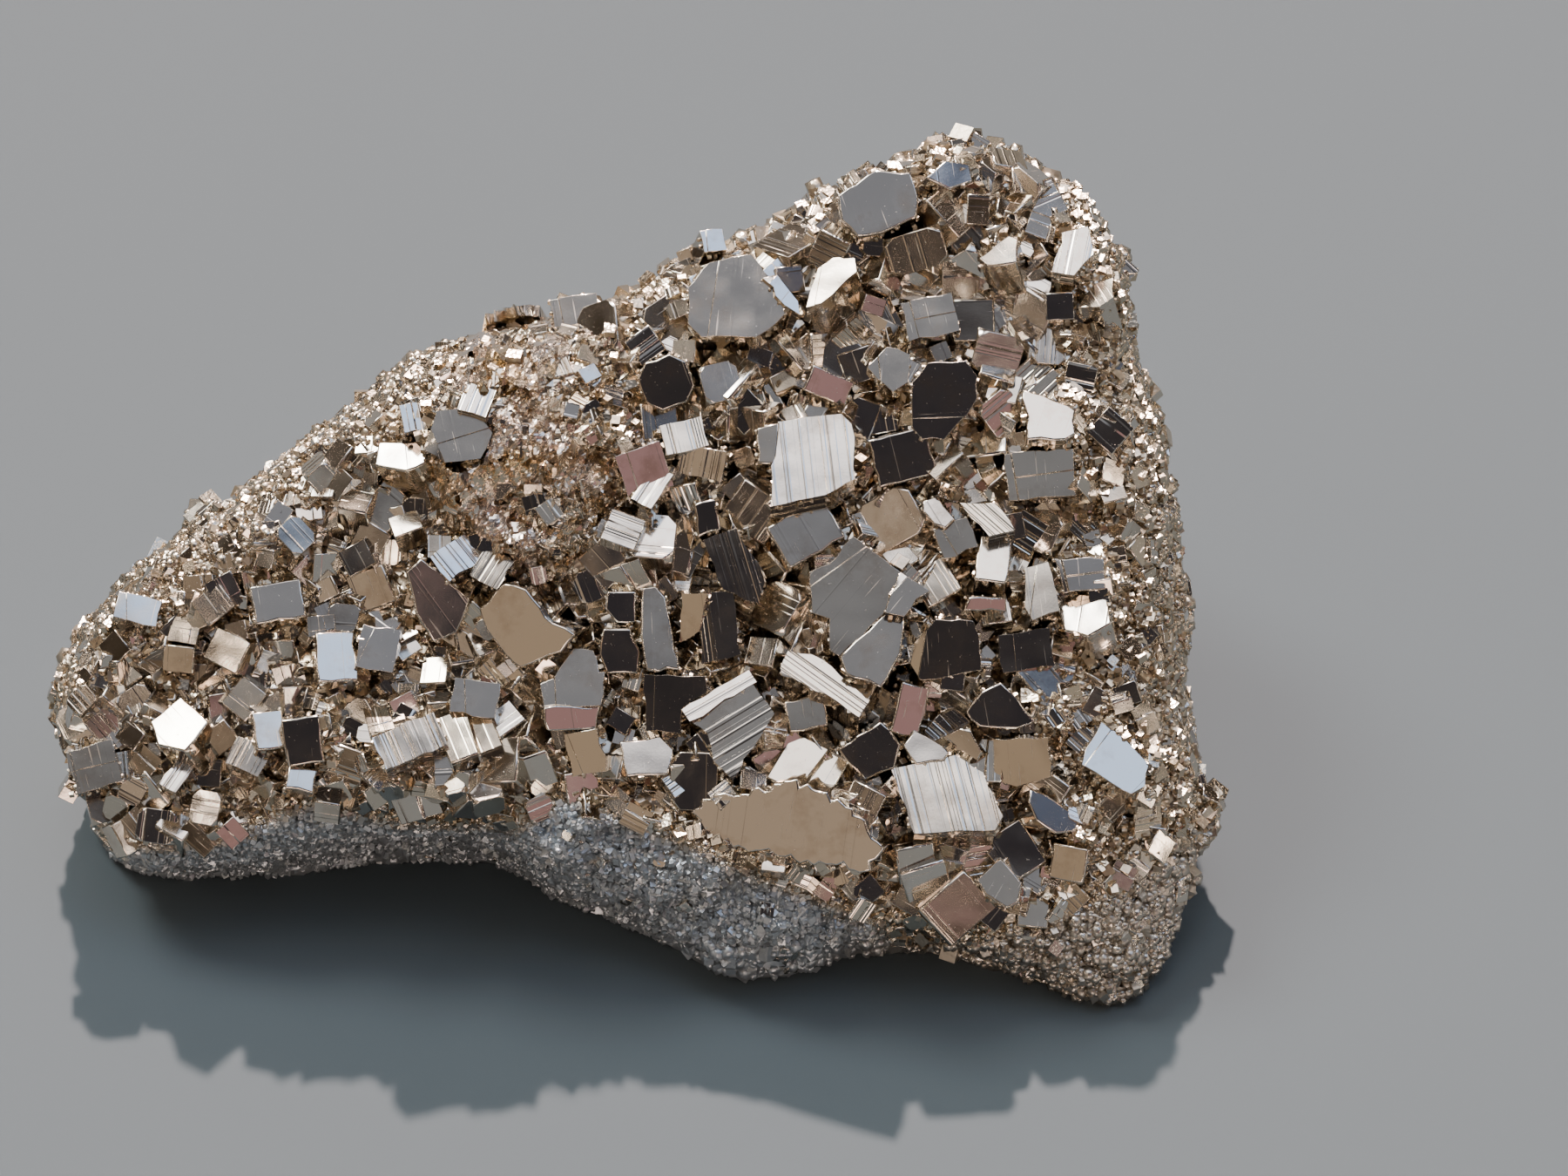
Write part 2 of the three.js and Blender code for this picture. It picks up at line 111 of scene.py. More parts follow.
# The large crystals whose outlines can be followed: corners of the front face (u and v, as the camera sees
# them), facing, the way its growth lines run in degrees from upright, how far it stands up, and its form.
DRAWN = [
    # upper crest
    (((3.3, 36.6), (4.4, 37.9), (6.5, 38.3), (7.3, 37.2), (8.6, 35.7), (7.8, 34.8), (6.8, 34.1), (4.0, 34.1),
      (3.3, 34.8)), "grey", -5, 1.0, "plain"),
    (((10.9, 41.3), (12.8, 42.6), (14.6, 42.5), (15.0, 41.3), (14.9, 40.2), (13.2, 39.4), (11.9, 39.2),
      (11.1, 40.0)), "dull", 20, 0.9, "plain"),
    (((9.3, 35.6), (9.9, 37.6), (10.8, 38.2), (11.8, 38.1), (11.9, 37.4), (11.0, 36.6), (10.1, 35.8)),
     "white", -20, 0.9, "plain"),
    (((15.4, 42.2), (16.4, 43.1), (17.6, 42.9), (17.8, 42.0), (16.6, 41.6)), "slate", 8, 0.7, "plain"),
    (((18.0, 38.1), (19.6, 39.3), (20.1, 39.1), (20.0, 37.9), (18.5, 37.7)), "white", 30, 0.8, "plain"),
    (((22.3, 39.4), (23.6, 39.7), (23.9, 38.3), (22.9, 37.2), (21.8, 37.4)), "bright", -12, 0.7, "striated"),
    (((23.1, 35.6), (24.0, 36.8), (24.9, 37.1), (24.9, 36.1), (24.2, 35.6)), "white", 24, 0.7, "plain"),
    (((7.1, 37.1), (7.8, 37.3), (8.9, 35.9), (9.0, 35.2), (8.2, 35.7)), "blue", -35, 1.1, "plain"),
    (((12.4, 32.6), (13.4, 33.6), (14.6, 33.2), (14.5, 31.8), (13.7, 31.3), (12.9, 32.0)), "grey", -6, 0.9,
     "plain"),
    # right of the middle
    (((7.9, 29.8), (9.0, 30.0), (11.1, 30.2), (11.6, 29.7), (11.8, 26.9), (10.3, 26.1), (7.5, 25.5),
      (7.6, 27.0)), "pale", 6, 1.8, "lined"),
    (((6.8, 29.5), (7.95, 29.8), (7.8, 27.7), (6.8, 27.7)), "grey", 6, 1.7, "plain"),
    (((14.7, 31.8), (15.5, 32.8), (17.4, 32.9), (18.0, 32.1), (18.0, 31.0), (17.5, 30.2), (16.3, 28.9),
      (15.2, 28.9), (14.7, 29.5)), "black", 93, 1.4, "plain"),
    (((20.3, 31.5), (21.3, 31.2), (23.0, 30.4), (23.0, 29.2), (22.5, 28.9), (20.5, 28.9)), "bright", -20, 1.2,
     "plain"),
    (((17.1, 25.7), (19.0, 25.7), (19.9, 24.3), (18.6, 24.0), (17.7, 24.9)), "bright", 45, 0.9, "striated"),
    (((15.2, 25.8), (16.0, 26.1), (16.9, 24.9), (16.4, 24.4), (15.8, 24.6), (15.2, 25.3)), "pale", 30, 0.8,
     "plain"),
    (((20.4, 22.4), (21.6, 22.7), (22.2, 20.2), (20.8, 19.7), (20.4, 20.4)), "pale", 6, 0.9, "plain"),
    (((21.9, 22.9), (24.4, 22.8), (24.5, 21.3), (22.4, 21.1)), "dull", 4, 0.6, "stepped"),
    (((22.0, 20.4), (23.2, 21.1), (24.6, 20.8), (24.8, 19.6), (23.6, 18.9), (22.4, 19.2)), "white", -10, 0.9,
     "plain"),
    # the large cubes of the middle: the broad grey face is three growth faces almost in one plane
    (((11.7, 24.0), (14.1, 22.2), (13.3, 20.1), (11.0, 17.9), (10.5, 18.2), (10.5, 19.8), (9.6, 20.1),
      (9.5, 22.2), (10.5, 22.6)), "dull", -40, 1.9, "plain"),
    (((14.1, 22.2), (15.6, 21.2), (14.9, 20.8), (14.3, 19.9), (13.3, 20.1)), "grey", -40, 1.9, "plain"),
    (((13.3, 20.1), (14.3, 19.9), (14.1, 18.0), (13.1, 16.3), (11.3, 17.0), (11.0, 17.9)), "grey", -15, 1.9,
     "plain"),
    (((4.1, 23.8), (5.8, 24.4), (7.3, 21.9), (6.9, 20.6), (5.1, 21.3)), "dark", 17, 1.9, "lined"),
    (((3.0, 21.1), (4.3, 21.1), (3.9, 19.2), (2.9, 18.6)), "tan", 8, 1.7, "plain"),
    (((4.3, 21.1), (5.6, 21.1), (6.0, 18.0), (4.0, 17.5), (3.9, 19.2)), "dark", 8, 1.8, "lined"),
    (((1.0, 21.4), (1.7, 21.5), (2.2, 20.9), (2.9, 17.2), (1.2, 17.2), (0.9, 19.0)), "dull", 2, 1.4,
     "plain"),
    (((3.6, 25.6), (4.7, 25.9), (5.0, 24.3), (3.8, 23.9)), "black", 4, 1.2, "plain"),
    (((-0.8, 21.2), (0.7, 21.2), (0.7, 19.6), (-0.3, 19.6), (-0.9, 20.3)), "black", 6, 0.9, "plain"),
    (((-1.0, 19.3), (0.4, 19.3), (0.9, 18.2), (0.8, 17.0), (-0.8, 17.0), (-1.2, 18.0)), "black", 10, 1.0,
     "plain"),
    (((1.1, 17.0), (4.2, 16.9), (4.3, 16.1), (3.0, 15.2), (3.0, 14.0), (1.2, 14.1)), "black", 4, 1.2,
     "plain"),
    (((-2.5, 18.3), (-1.5, 18.2), (-1.2, 17.1), (-0.9, 17.1), (-1.1, 15.4), (-4.0, 15.3), (-4.2, 16.5),
      (-3.5, 16.8)), "grey", 8, 1.1, "plain"),
    (((-1.1, 15.4), (-1.3, 14.2), (-3.8, 14.1), (-4.0, 15.3)), "rose", 8, 1.1, "plain"),
    (((-7.3, 20.3), (-6.0, 21.6), (-4.9, 21.3), (-3.9, 19.9), (-2.4, 19.0), (-3.1, 18.1), (-5.2, 17.3),
      (-6.0, 18.0), (-6.9, 19.2)), "tan", -57, 1.5, "plain"),
    (((-10.2, 22.9), (-8.9, 21.8), (-7.7, 20.8), (-8.4, 19.1), (-9.6, 18.6), (-10.5, 20.1), (-11.0, 22.2)),
     "wine", 35, 1.1, "plain"),
    (((8.0, 17.3), (8.4, 18.2), (9.6, 18.0), (10.6, 17.4), (12.5, 15.6), (12.0, 14.8), (10.3, 16.0),
      (8.1, 16.9)), "bright", 52, 1.8, "striated"),
    (((3.0, 15.2), (6.4, 17.2), (6.8, 16.6), (3.4, 14.6)), "bright", -58, 1.5, "lined"),
    (((3.4, 14.6), (6.6, 16.5), (7.7, 15.0), (5.6, 11.6), (4.6, 12.6), (4.3, 14.0)), "grey", -58, 1.3,
     "lined"),
    (((15.9, 19.8), (17.8, 19.7), (18.1, 18.9), (18.2, 17.2), (16.6, 16.9), (15.1, 16.7), (14.6, 17.5),
      (14.8, 18.6)), "black", 4, 1.3, "plain"),
    (((17.3, 20.2), (17.6, 20.9), (19.5, 20.9), (19.5, 20.1)), "rose", 4, 1.0, "plain"),
    (((10.9, 13.2), (13.1, 14.6), (14.1, 13.4), (13.8, 12.2), (12.3, 11.6), (11.4, 12.5)), "black", 35, 1.1,
     "plain"),
    (((17.4, 15.1), (18.2, 16.1), (19.2, 16.6), (20.1, 15.7), (21.0, 14.6), (20.0, 14.2), (18.1, 14.3)),
     "black", 10, 1.0, "plain"),
    (((18.8, 13.7), (21.6, 13.8), (21.7, 11.8), (20.0, 11.3), (18.9, 11.6)), "tan", 6, 0.9, "plain"),
    (((14.2, 13.4), (14.8, 14.2), (15.6, 13.8), (16.6, 13.0), (16.3, 12.6), (14.9, 12.4)), "pale", -30, 0.9,
     "plain"),
    # along the ledge
    (((3.4, 10.0), (4.6, 10.9), (6.4, 10.9), (8.2, 11.6), (9.6, 11.2), (10.9, 10.7), (12.3, 9.6), (13.2, 8.0),
      (12.6, 7.0), (10.3, 7.3), (7.0, 8.0), (4.4, 8.6)), "tan", -8, 0.35, "ragged"),
    (((13.6, 12.2), (16.9, 12.9), (18.3, 12.0), (19.3, 9.8), (18.9, 9.1), (14.8, 8.9)), "fair", 13, 1.5,
     "striated"),
    (((24.3, 14.6), (25.1, 14.0), (26.7, 12.4), (26.5, 11.3), (25.8, 10.9), (24.0, 12.0), (23.3, 12.4),
      (23.5, 13.2)), "blue", -43, 1.2, "plain"),
    (((20.7, 11.2), (21.5, 10.9), (24.2, 9.1), (22.0, 8.9), (21.0, 9.6), (20.6, 10.5)), "slate", -35, 0.9,
     "plain"),
    (((17.9, 6.6), (19.2, 7.7), (20.3, 6.4), (20.1, 5.4), (19.5, 5.1), (18.4, 5.8)), "grey", -30, 0.8,
     "plain"),
    (((-0.2, 13.6), (1.9, 13.9), (2.6, 13.2), (2.3, 11.9), (0.2, 11.8)), "pale", 4, 0.8, "plain"),
    # hump and left arm
    (((-12.6, 27.6), (-12.4, 28.8), (-10.4, 28.8), (-9.9, 27.8), (-11.0, 27.3)), "white", 8, 0.7, "plain"),
    (((-10.1, 28.4), (-9.4, 30.3), (-7.4, 30.4), (-6.6, 29.2), (-7.2, 27.9), (-9.0, 27.7)), "grey", 14, 0.6,
     "stepped"),
    (((-24.0, 14.6), (-22.4, 15.9), (-21.0, 14.6), (-22.2, 13.1), (-23.6, 13.4)), "white", 40, 1.0, "plain"),
]

# The other crystals that can be told apart: u, v, width, height, facing, turn, how far each stands up, form.
CUBES = [
    (-2.4, 35.4, 2.4, 1.6, "grey", 10, 0.2, "plain"),
    (2.2, 31.8, 2.6, 2.6, "black", 20, 0.8, "trimmed"),
    (4.6, 39.0, 1.2, 1.2, "blue", 12, 0.5, "plain"),
    (15.6, 35.1, 2.6, 2.0, "grey", 12, 0.8, "stepped"),
    (10.5, 31.6, 2.4, 1.4, "rose", -24, 0.7, "plain"),
    (21.2, 27.1, 3.4, 2.4, "dull", 4, 0.6, "stepped"),
    (14.2, 28.0, 3.0, 2.5, "black", 14, 0.6, "plain"),
    (18.8, 22.9, 1.6, 2.6, "bright", -8, 0.8, "plain"),
    (16.9, 23.9, 1.8, 1.6, "dull", 20, 0.7, "plain"),
    (20.5, 18.2, 2.6, 1.9, "dark", 8, 0.7, "plain"),
    (9.3, 24.2, 3.2, 2.4, "dull", 30, 1.4, "plain"),
    (1.1, 27.3, 2.4, 2.4, "rose", 18, 0.8, "plain"),
    (4.0, 27.8, 2.4, 1.6, "tan", -12, 0.8, "striated"),
    (3.1, 29.1, 2.2, 1.6, "pale", 14, 0.7, "striated"),
    (1.5, 26.5, 1.2, 2.2, "bright", -30, 0.9, "striated"),
    (14.6, 15.2, 1.5, 2.6, "rose", -14, 0.8, "plain"),
    (9.3, 15.0, 2.0, 1.6, "dull", 10, 0.6, "plain"),
    (22.6, 7.4, 1.8, 1.8, "tan", -8, 0.6, "plain"),
    (-1.9, 13.0, 1.8, 2.2, "tan", 12, 0.6, "plain"),
    (-7.5, 15.8, 2.3, 1.8, "grey", -8, 0.7, "plain"),
    (-10.8, 13.6, 3.3, 1.8, "pale", 24, 0.6, "striated"),
    (-7.4, 30.9, 1.5, 1.6, "bright", -18, 0.8, "striated"),
    (-10.6, 30.0, 1.2, 1.5, "blue", 12, 0.8, "striated"),
    (-8.4, 22.9, 2.2, 1.6, "blue", 40, 0.6, "striated"),
    (-6.6, 22.4, 1.6, 1.8, "pale", -30, 0.7, "striated"),
    (-14.5, 17.9, 2.0, 2.6, "blue", 6, 0.7, "plain"),
    (-12.4, 18.3, 1.9, 2.2, "grey", -10, 0.7, "plain"),
    (-16.2, 13.6, 1.9, 2.4, "black", 8, 0.7, "plain"),
    (-17.9, 14.2, 1.6, 2.0, "blue", 12, 0.8, "plain"),
    (-16.3, 11.7, 1.5, 1.3, "blue", -8, 0.6, "plain"),
    (-19.0, 12.8, 1.8, 1.5, "pale", -24, 0.7, "striated"),
    (-22.6, 11.9, 1.0, 1.8, "bright", -30, 0.7, "striated"),
    (-26.8, 12.3, 2.4, 2.2, "dull", 16, 0.5, "stepped"),
    (-17.5, 20.7, 2.6, 2.0, "grey", 10, 0.6, "plain"),
    (-24.6, 20.3, 2.2, 1.4, "blue", -10, 0.5, "plain"),
]
SQUARE = ((-1, -1), (1, -1), (1, 1), (-1, 1))
OCTAGON = ((-0.5, -1), (0.5, -1), (1, -0.5), (1, 0.5), (0.5, 1), (-0.5, 1), (-1, 0.5), (-1, -0.5))
STRIATION = {"striated": 1.0, "lined": 0.5}
RIDGES = {"striated": (0.5, 0.07), "lined": (0.55, 0.018)}  # their spacing and height
RIDGED_SHARE = 0.6
TERRACED_SHARE = 0.4  # of the plain crystals
TERRACES = {"stepped": 0.14, "plain": 0.05}
UPPER_TERRACE = 0.1
EDGE_BEVEL = 0.1
CRYSTAL_DEPTH = 2.6
ROUNDED_BELOW = 0.12
CHIP_LENGTH = 0.65
CHIP_DEPTH = 0.05
RAGGED_LENGTH = 0.3
RAGGED_DEPTH = 0.14
RAGGED_REACH = 0.84
EDGE_GLINTS = 0.4
EDGE_GRAINS = 2.6
EDGE_GRAIN = (0.1, 0.26)

# The crust by zone: sizes of its crystals in the order in which they take their places, the share of free
# places that each takes, how far they rise, how deep the ground between them is sunk, and the grains on it:
# sizes, how densely they cover it, how many are rounded and how many face the sun.
ZONES = {
    "druse": {"sizes": (2.6, 2.0, 1.6, 1.25, 0.95), "share": 1.0, "rise": 0.85, "sunk": 1.2,
              "grain": (0.3, 0.65), "cover": 0.35, "rounded": 0.1, "glinting": 0.25},
    "crest": {"sizes": (2.3, 1.7, 1.3, 0.9), "share": 1.0, "rise": 0.7, "sunk": 1.0,
              "grain": (0.3, 0.7), "cover": 0.6, "rounded": 0.2, "glinting": 0.25},
    "arm": {"sizes": (1.9, 1.5, 1.15, 0.9), "share": 1.0, "rise": 0.75, "sunk": 1.0,
            "grain": (0.3, 0.7), "cover": 0.8, "rounded": 0.3, "glinting": 0.25},
    "ledge": {"sizes": (1.4, 1.0, 0.8), "share": 0.9, "rise": 0.5, "sunk": 0.4,
              "grain": (0.3, 0.7), "cover": 1.5, "rounded": 0.3, "glinting": 0.2},
    "edge": {"sizes": (1.4, 1.1, 0.8), "share": 0.6, "rise": 0.42, "sunk": 0.3,
             "grain": (0.3, 0.6), "cover": 1.9, "rounded": 0.7, "glinting": 0.04},
    "rim": {"sizes": (1.4, 1.0, 0.8), "share": 0.4, "rise": 0.4, "sunk": 0.3,
            "grain": (0.3, 0.65), "cover": 2.2, "rounded": 0.7, "glinting": 0.3},
    "hump": {"sizes": (1.0, 0.7), "share": 0.12, "rise": 0.5, "sunk": 0.2,
             "grain": (0.2, 0.7), "cover": 0.3, "rounded": 0.0, "glinting": 0.4},
    "corner": {"sizes": (0.8,), "share": 0.06, "rise": 0.34, "sunk": 0.2,
               "grain": (0.3, 0.6), "cover": 2.2, "rounded": 0.9, "glinting": 0.04},
    "lobe": {"sizes": (0.9,), "share": 0.05, "rise": 0.34, "sunk": 0.2,
             "grain": (0.35, 0.75), "cover": 2.2, "rounded": 0.8, "glinting": 0.05},
    "chin": {"sizes": (0.7,), "share": 0.05, "rise": 0.3, "sunk": 0.1,
             "grain": (0.2, 0.36), "cover": 2.0, "rounded": 0.4, "glinting": 0.08},
    "wall": {"sizes": (2.4, 1.9, 1.5, 1.1), "share": 0.8, "rise": 0.3, "sunk": 0.2,
             "grain": (0.5, 1.1), "cover": 1.5, "rounded": 0.4, "glinting": 0.0},
}
CRYSTAL_REGIONS = {
    "druse_crystals": ("druse",),
    "margin_crystals": ("crest", "arm", "ledge", "edge", "rim", "hump", "corner", "lobe", "chin"),
    "wall_crystals": ("wall",),
}
GRAIN_REGIONS = {
    "front_grains": ("druse", "crest", "arm", "ledge"),
    "edge_and_hump_grains": ("edge", "hump"),
    "rim_grains": ("rim", "corner"),
    "chin_grains": ("chin", "lobe"),
    "wall_grains": ("wall",),
}
RIM_CRYSTAL = 1.15
RIM_WIDTH = 2.2
RIM_RISE = 0.6
GREY_FADES = (10.0, 17.0)
GREY_LEAST = 0.35
CLOSENESS = 0.5
CANDIDATES = 26000
MOST_CRYSTALS = 12000
GROUND_SMOOTHING = 8
FRONT_CLEAR = -0.1

# How the crust's crystals vary, as shares of their size, and what share of them has each form.
VARIES = (0.75, 1.2)
SHAPE_VARIES = ((0.8, 0.75, 0.9), (1.15, 1.1, 1.1))
RISE_VARIES = (0.3, 1.2)
LEAST_RISE = 0.15
BESIDE_LARGE = 0.9
GREATER = {"over": 1.3, "gap": 0.35}
SMALLER_GAP = 0.15
FREELY_TURNED = 0.45
LEAN_SPREAD = 0.4
CRUST_FORMS = {"small": 0.5, "trimmed": 0.2, "nicked": 0.2, "stepped": 0.1}
CRUST_STRIATION = {0.0: 0.5, 0.3: 0.3, 1.0: 0.2}

# Where the crust is looked at beside a large crystal, and how far under its front the ground ends.
CRYSTAL_REACH = 8
ABOVE_FRONT = 1.6
SOCKET = {"depth": 0.4, "overlap": 0.1}

# The grains: how unevenly their sizes are spread, how deep they sit, and the share of splinters on the hump.
SIZE_SKEW = 1.5
GRAIN_LIFT = (-0.45, 0.05)
GLINT_LIFT = 0.6
SPLINTERED = 0.8
SPLINTER_SHAPE = (1.8, 0.8, 0.55)
EDGE_GRAIN_DEPTH = (0.1, 0.9)

VOXEL = 0.36
FACET_SHARE = 8
FACET_TILT = 0.5
FACET_LIFT = (-0.15, 0.05)
FACET_LIMITS = (-0.35, 0.25)
FACET_STRAY = 0.03
FOOT = {"height": 0.6, "share": 0.25}
GLINT_SPREAD = 0.12
GLINT_SIZE = 0.7
GLINT_PATCH = (1.7, 2.3, 1.2)
PATCH_OFFSET = (0.4, 1.9, 0.0)
PATCH_LIMIT = -0.2
PATCH_GAIN = 1.6
RNG = np.random.default_rng(4201)

# The broken place on the hump: middle and reach along u and v, the spacing of its points, how far its
# margin falls and from what share of its reach, its thickness, and its splinters: length of a facet, how far
# its slope strays, how high it stands.
BREAK = {"middle": (-4.4, 28.4), "reach": (6.0, 7.0), "step": 0.12, "fall": 1.2, "from": 0.6, "slab": 0.6}
SPLINTER_STRETCH = 0.7
SPLINTERS = [(1.8, 0.35, 0.4), (0.8, 0.35, 0.15), (0.45, 0.2, 0.05)]

# The studio, seen from the specimen: degrees right and up from the camera's direction, and what is there.
CARDS = [
    # name, right, up, radius, softness, colour, strength
    ("far wall", 0, 30, 22, 8, "#9DA2B0", 1.0),
    ("haze", 0, 54, 14, 7, "#F1EFF8", 4.3),
    ("blue window", 27, 44, 12, 4, "#A9C2EE", 3.4),
    ("slate board", 40, 28, 9, 4, "#66728F", 1.0),
    ("white window", -28, 69, 8, 3, "#FFFFFF", 32.0),
    ("low window", -4, -50, 10, 4, "#FFDECF", 8.0),
    ("warm board", -30, -16, 18, 7, "#C6B19D", 1.0),
    ("rose board", 31, -16, 13, 6, "#8E7073", 1.8),
    ("camera side", 0, -7, 21, 8, "#3B393F", 1.0),
]
ROOM = {"scale": 1.8, "dark": "#463D35", "light": "#B9B2AA"}
LAMPS = {"scale": 7.0, "reach": 0.19, "colour": "#FFE9D8", "strength": 24.0}
BACKDROP = ("#B9BDBE", 1.0)
SUN = {"right": -4, "height": 45, "angle": 2.0, "strength": 11.0, "colour": "#FFE3DA"}


def linear(hex_colour):
    """An sRGB hex colour as the linear colour that a socket takes."""
    parts = [int(hex_colour[i:i + 2], 16) / 255 for i in (1, 3, 5)]
    return [c / 12.92 if c <= 0.04045 else ((c + 0.055) / 1.055) ** 2.4 for c in parts] + [1.0]


def per_metre(size):
    """The scale of a pattern whose patches are of this size in millimetres, on Object coordinates."""
    return 1 / (size * MM)


def add_node(tree, kind, settings=None, links=None):
    """A node with its settings (an attribute, or an input by name or number) and its links."""
    node = tree.nodes.new(kind)
    for key, value in (settings or {}).items():
        if isinstance(key, str) and hasattr(node, key):
            setattr(node, key, value)
        else:
            node.inputs[key].default_value = value
    for key, socket in (links or {}).items():
        tree.links.new(socket, node.inputs[key])
    return node


# Places

def stand(places):
    """Places laid out on the face, brought to where they stand, in millimetres."""
    return np.asarray(places, float) @ TURN.T - MIDDLE


def laid_out(places):
    """The reverse of stand."""
    return (np.asarray(places, float) + MIDDLE) @ TURN


def even_girth():
    rows = np.array(GIRTH + GIRTH[:1])
    lengths = np.concatenate(([0], np.cumsum(np.linalg.norm(np.diff(rows[:, :3], axis=0), axis=1))))
    at = np.arange(SPOKES) * lengths[-1] / SPOKES
    return np.stack([np.interp(at, lengths, rows[:, k]) for k in range(4)], axis=1)


def margin(u, v, outline):
    start = outline[:, :2]
    side = np.roll(start, -1, axis=0) - start
    way = np.array((u, v)) - start
    share = np.clip((way * side).sum(1) / (side * side).sum(1), 0, 1)
    return np.linalg.norm(way - side * share[:, None], axis=1).min()


def relief(u, v):
    w = FACE_LEVEL
    for mid_u, mid_v, reach_u, reach_v, height in SWELLS:
        w += height * math.exp(-(((u - mid_u) / reach_u) ** 2) - ((v - mid_v) / reach_v) ** 2)
    w -= TOP_FALL[1] * max(0, v - TOP_FALL[0])
    w -= LEFT_FALL[1] * max(0, LEFT_FALL[0] - u)
    w -= RIGHT_FALL[1] * max(0, u - RIGHT_FALL[0])
    return w


def crust_level(u, v, outline):
    near = outline[np.linalg.norm(outline[:, :2] - (u, v), axis=1).argmin()]
    roll = math.sqrt(1 - (1 - min(1, margin(u, v, outline) / near[3])) ** 2)
    return near[2] + (relief(u, v) - near[2]) * roll


def seen_on(u, v, anchor, normal):
    """Where the camera's line of sight through u, v meets the plane through the anchor."""
    eye = np.array((CAMERA_AIM[0], CAMERA_AIM[1], CAMERA_AWAY))
    sight = np.array((u, v, 0.0)) - eye
    return eye + sight * (normal @ (anchor - eye)) / (normal @ sight)


def seated(u, v, facing, turn, proud, girth):
    """The middle of a crystal's front face and its axes, laid out."""
    right, up = FACINGS[facing]
    turning = (Matrix.Rotation(math.radians(-up), 3, "X") @ Matrix.Rotation(math.radians(right), 3, "Y")
               @ Matrix.Rotation(math.radians(turn), 3, "Z"))
    level = np.array((0.0, 0.0, crust_level(u, v, girth) + proud))
    return seen_on(u, v, level, np.array((0.0, 0.0, 1.0))), np.array(turning)


def ledge_at(u):
    """How far up the face the ledge lies at each u."""
    ledge = np.array(LEDGE)
    return np.interp(u, ledge[:, 0], ledge[:, 1])


def zone_of(face, outward):
    """The zone of the crust that each place lies in."""
    u, v = face[:, 0], face[:, 1]
    below = v < ledge_at(u)
    upper_edge = 18.9 + 0.793 * (u + 28.8)
    tests = [
        ("wall", outward < -0.25),
        ("corner", below & (u > 17)),
        ("lobe", below & (u > 1.5) & (v < 3.4)),
        ("chin", below),
        ("ledge", (v < ledge_at(u) + 1.8) & (u > -9)),
        ("rim", u > 22.0),
        ("hump", np.hypot((u - BREAK["middle"][0]) / BREAK["reach"][0],
                          (v - BREAK["middle"][1]) / BREAK["reach"][1]) < 1),
        ("edge", (u < -8) & (v > upper_edge - 4.5)),
        ("arm", u < -9),
        ("crest", v > 30.5),
    ]
    return np.select([test for _, test in tests], [name for name, _ in tests], default="druse")


# Forms, modelled once in a unit cube whose front face lies at z = 0

def start_box():
    bpy.ops.object.select_all(action="DESELECT")
    bpy.ops.mesh.primitive_cube_add(size=1, location=(0, 0, -0.5))
    bpy.ops.object.transform_apply(location=True)
    bpy.ops.object.mode_set(mode="EDIT")
    bpy.ops.mesh.select_all(action="DESELECT")


def start_prism(outline):
    """A closed prism under a drawn outline, ready to be shaped."""
    bpy.ops.object.select_all(action="DESELECT")
    bpy.ops.mesh.primitive_circle_add(vertices=len(outline), radius=1, fill_type="NGON")
    for vertex, (x, y) in zip(bpy.context.object.data.vertices, outline):
        vertex.co = (x, y, 0)
    bpy.ops.object.mode_set(mode="EDIT")
    bpy.ops.mesh.select_all(action="SELECT")
    bpy.ops.mesh.extrude_region_move(TRANSFORM_OT_translate={"value": (0, 0, -CRYSTAL_DEPTH)})
    bpy.ops.mesh.select_all(action="SELECT")
    bpy.ops.mesh.normals_make_consistent(inside=False)


def select_faces(test):
    """Selects the faces of the object being edited whose centre and normal pass the test."""
    bpy.ops.object.mode_set(mode="OBJECT")
    for face in bpy.context.object.data.polygons:
        face.select = test(face.center, face.normal)
    for kind in (bpy.context.object.data.edges, bpy.context.object.data.vertices):
        for item in kind:
            item.select = False
    bpy.ops.object.mode_set(mode="EDIT")
    bpy.ops.mesh.select_mode(type="FACE")


def cut(place, direction):
    bpy.ops.mesh.select_all(action="SELECT")
    bpy.ops.mesh.bisect(plane_co=place, plane_no=direction)


def raise_selected(height):
    bpy.ops.mesh.extrude_region_move(TRANSFORM_OT_translate={"value": (0, 0, height)})


def raise_strip(low, high, height):
    """Raises the part of the front between two lines along y."""
    select_faces(lambda c, n: n.z > 0.9 and c.z > -0.001 and low < c.x < high)
    raise_selected(height)


def soften_edges(width, segments=1):
    bpy.ops.mesh.select_all(action="SELECT")
    bpy.ops.mesh.select_mode(type="EDGE")
    bpy.ops.mesh.edges_select_sharp(sharpness=math.radians(25))
    bpy.ops.mesh.bevel(offset=width, segments=segments, affect="EDGES", clamp_overlap=True)


def finish_form(rounded_below=ROUNDED_BELOW):
    """The form as arrays. Its faces under a share of the greatest one's area are shaded as rounded."""
    bpy.ops.mesh.select_all(action="SELECT")
    bpy.ops.mesh.remove_doubles(threshold=1e-4)
    bpy.ops.mesh.normals_make_consistent(inside=False)
    bpy.ops.object.mode_set(mode="OBJECT")
    form = bpy.context.object
    mesh = form.data
    areas = np.array([p.area for p in mesh.polygons])
    shape = {
        "points": np.array([v.co for v in mesh.vertices]),
        "loops": np.array([i for p in mesh.polygons for i in p.vertices]),
        "corners": np.array([len(p.vertices) for p in mesh.polygons]),
        "axes": np.array([np.abs(p.normal).argmax() for p in mesh.polygons]),
        "round": areas < rounded_below * areas.max(),
    }
    bpy.data.objects.remove(form)
    bpy.data.meshes.remove(mesh)
    return shape


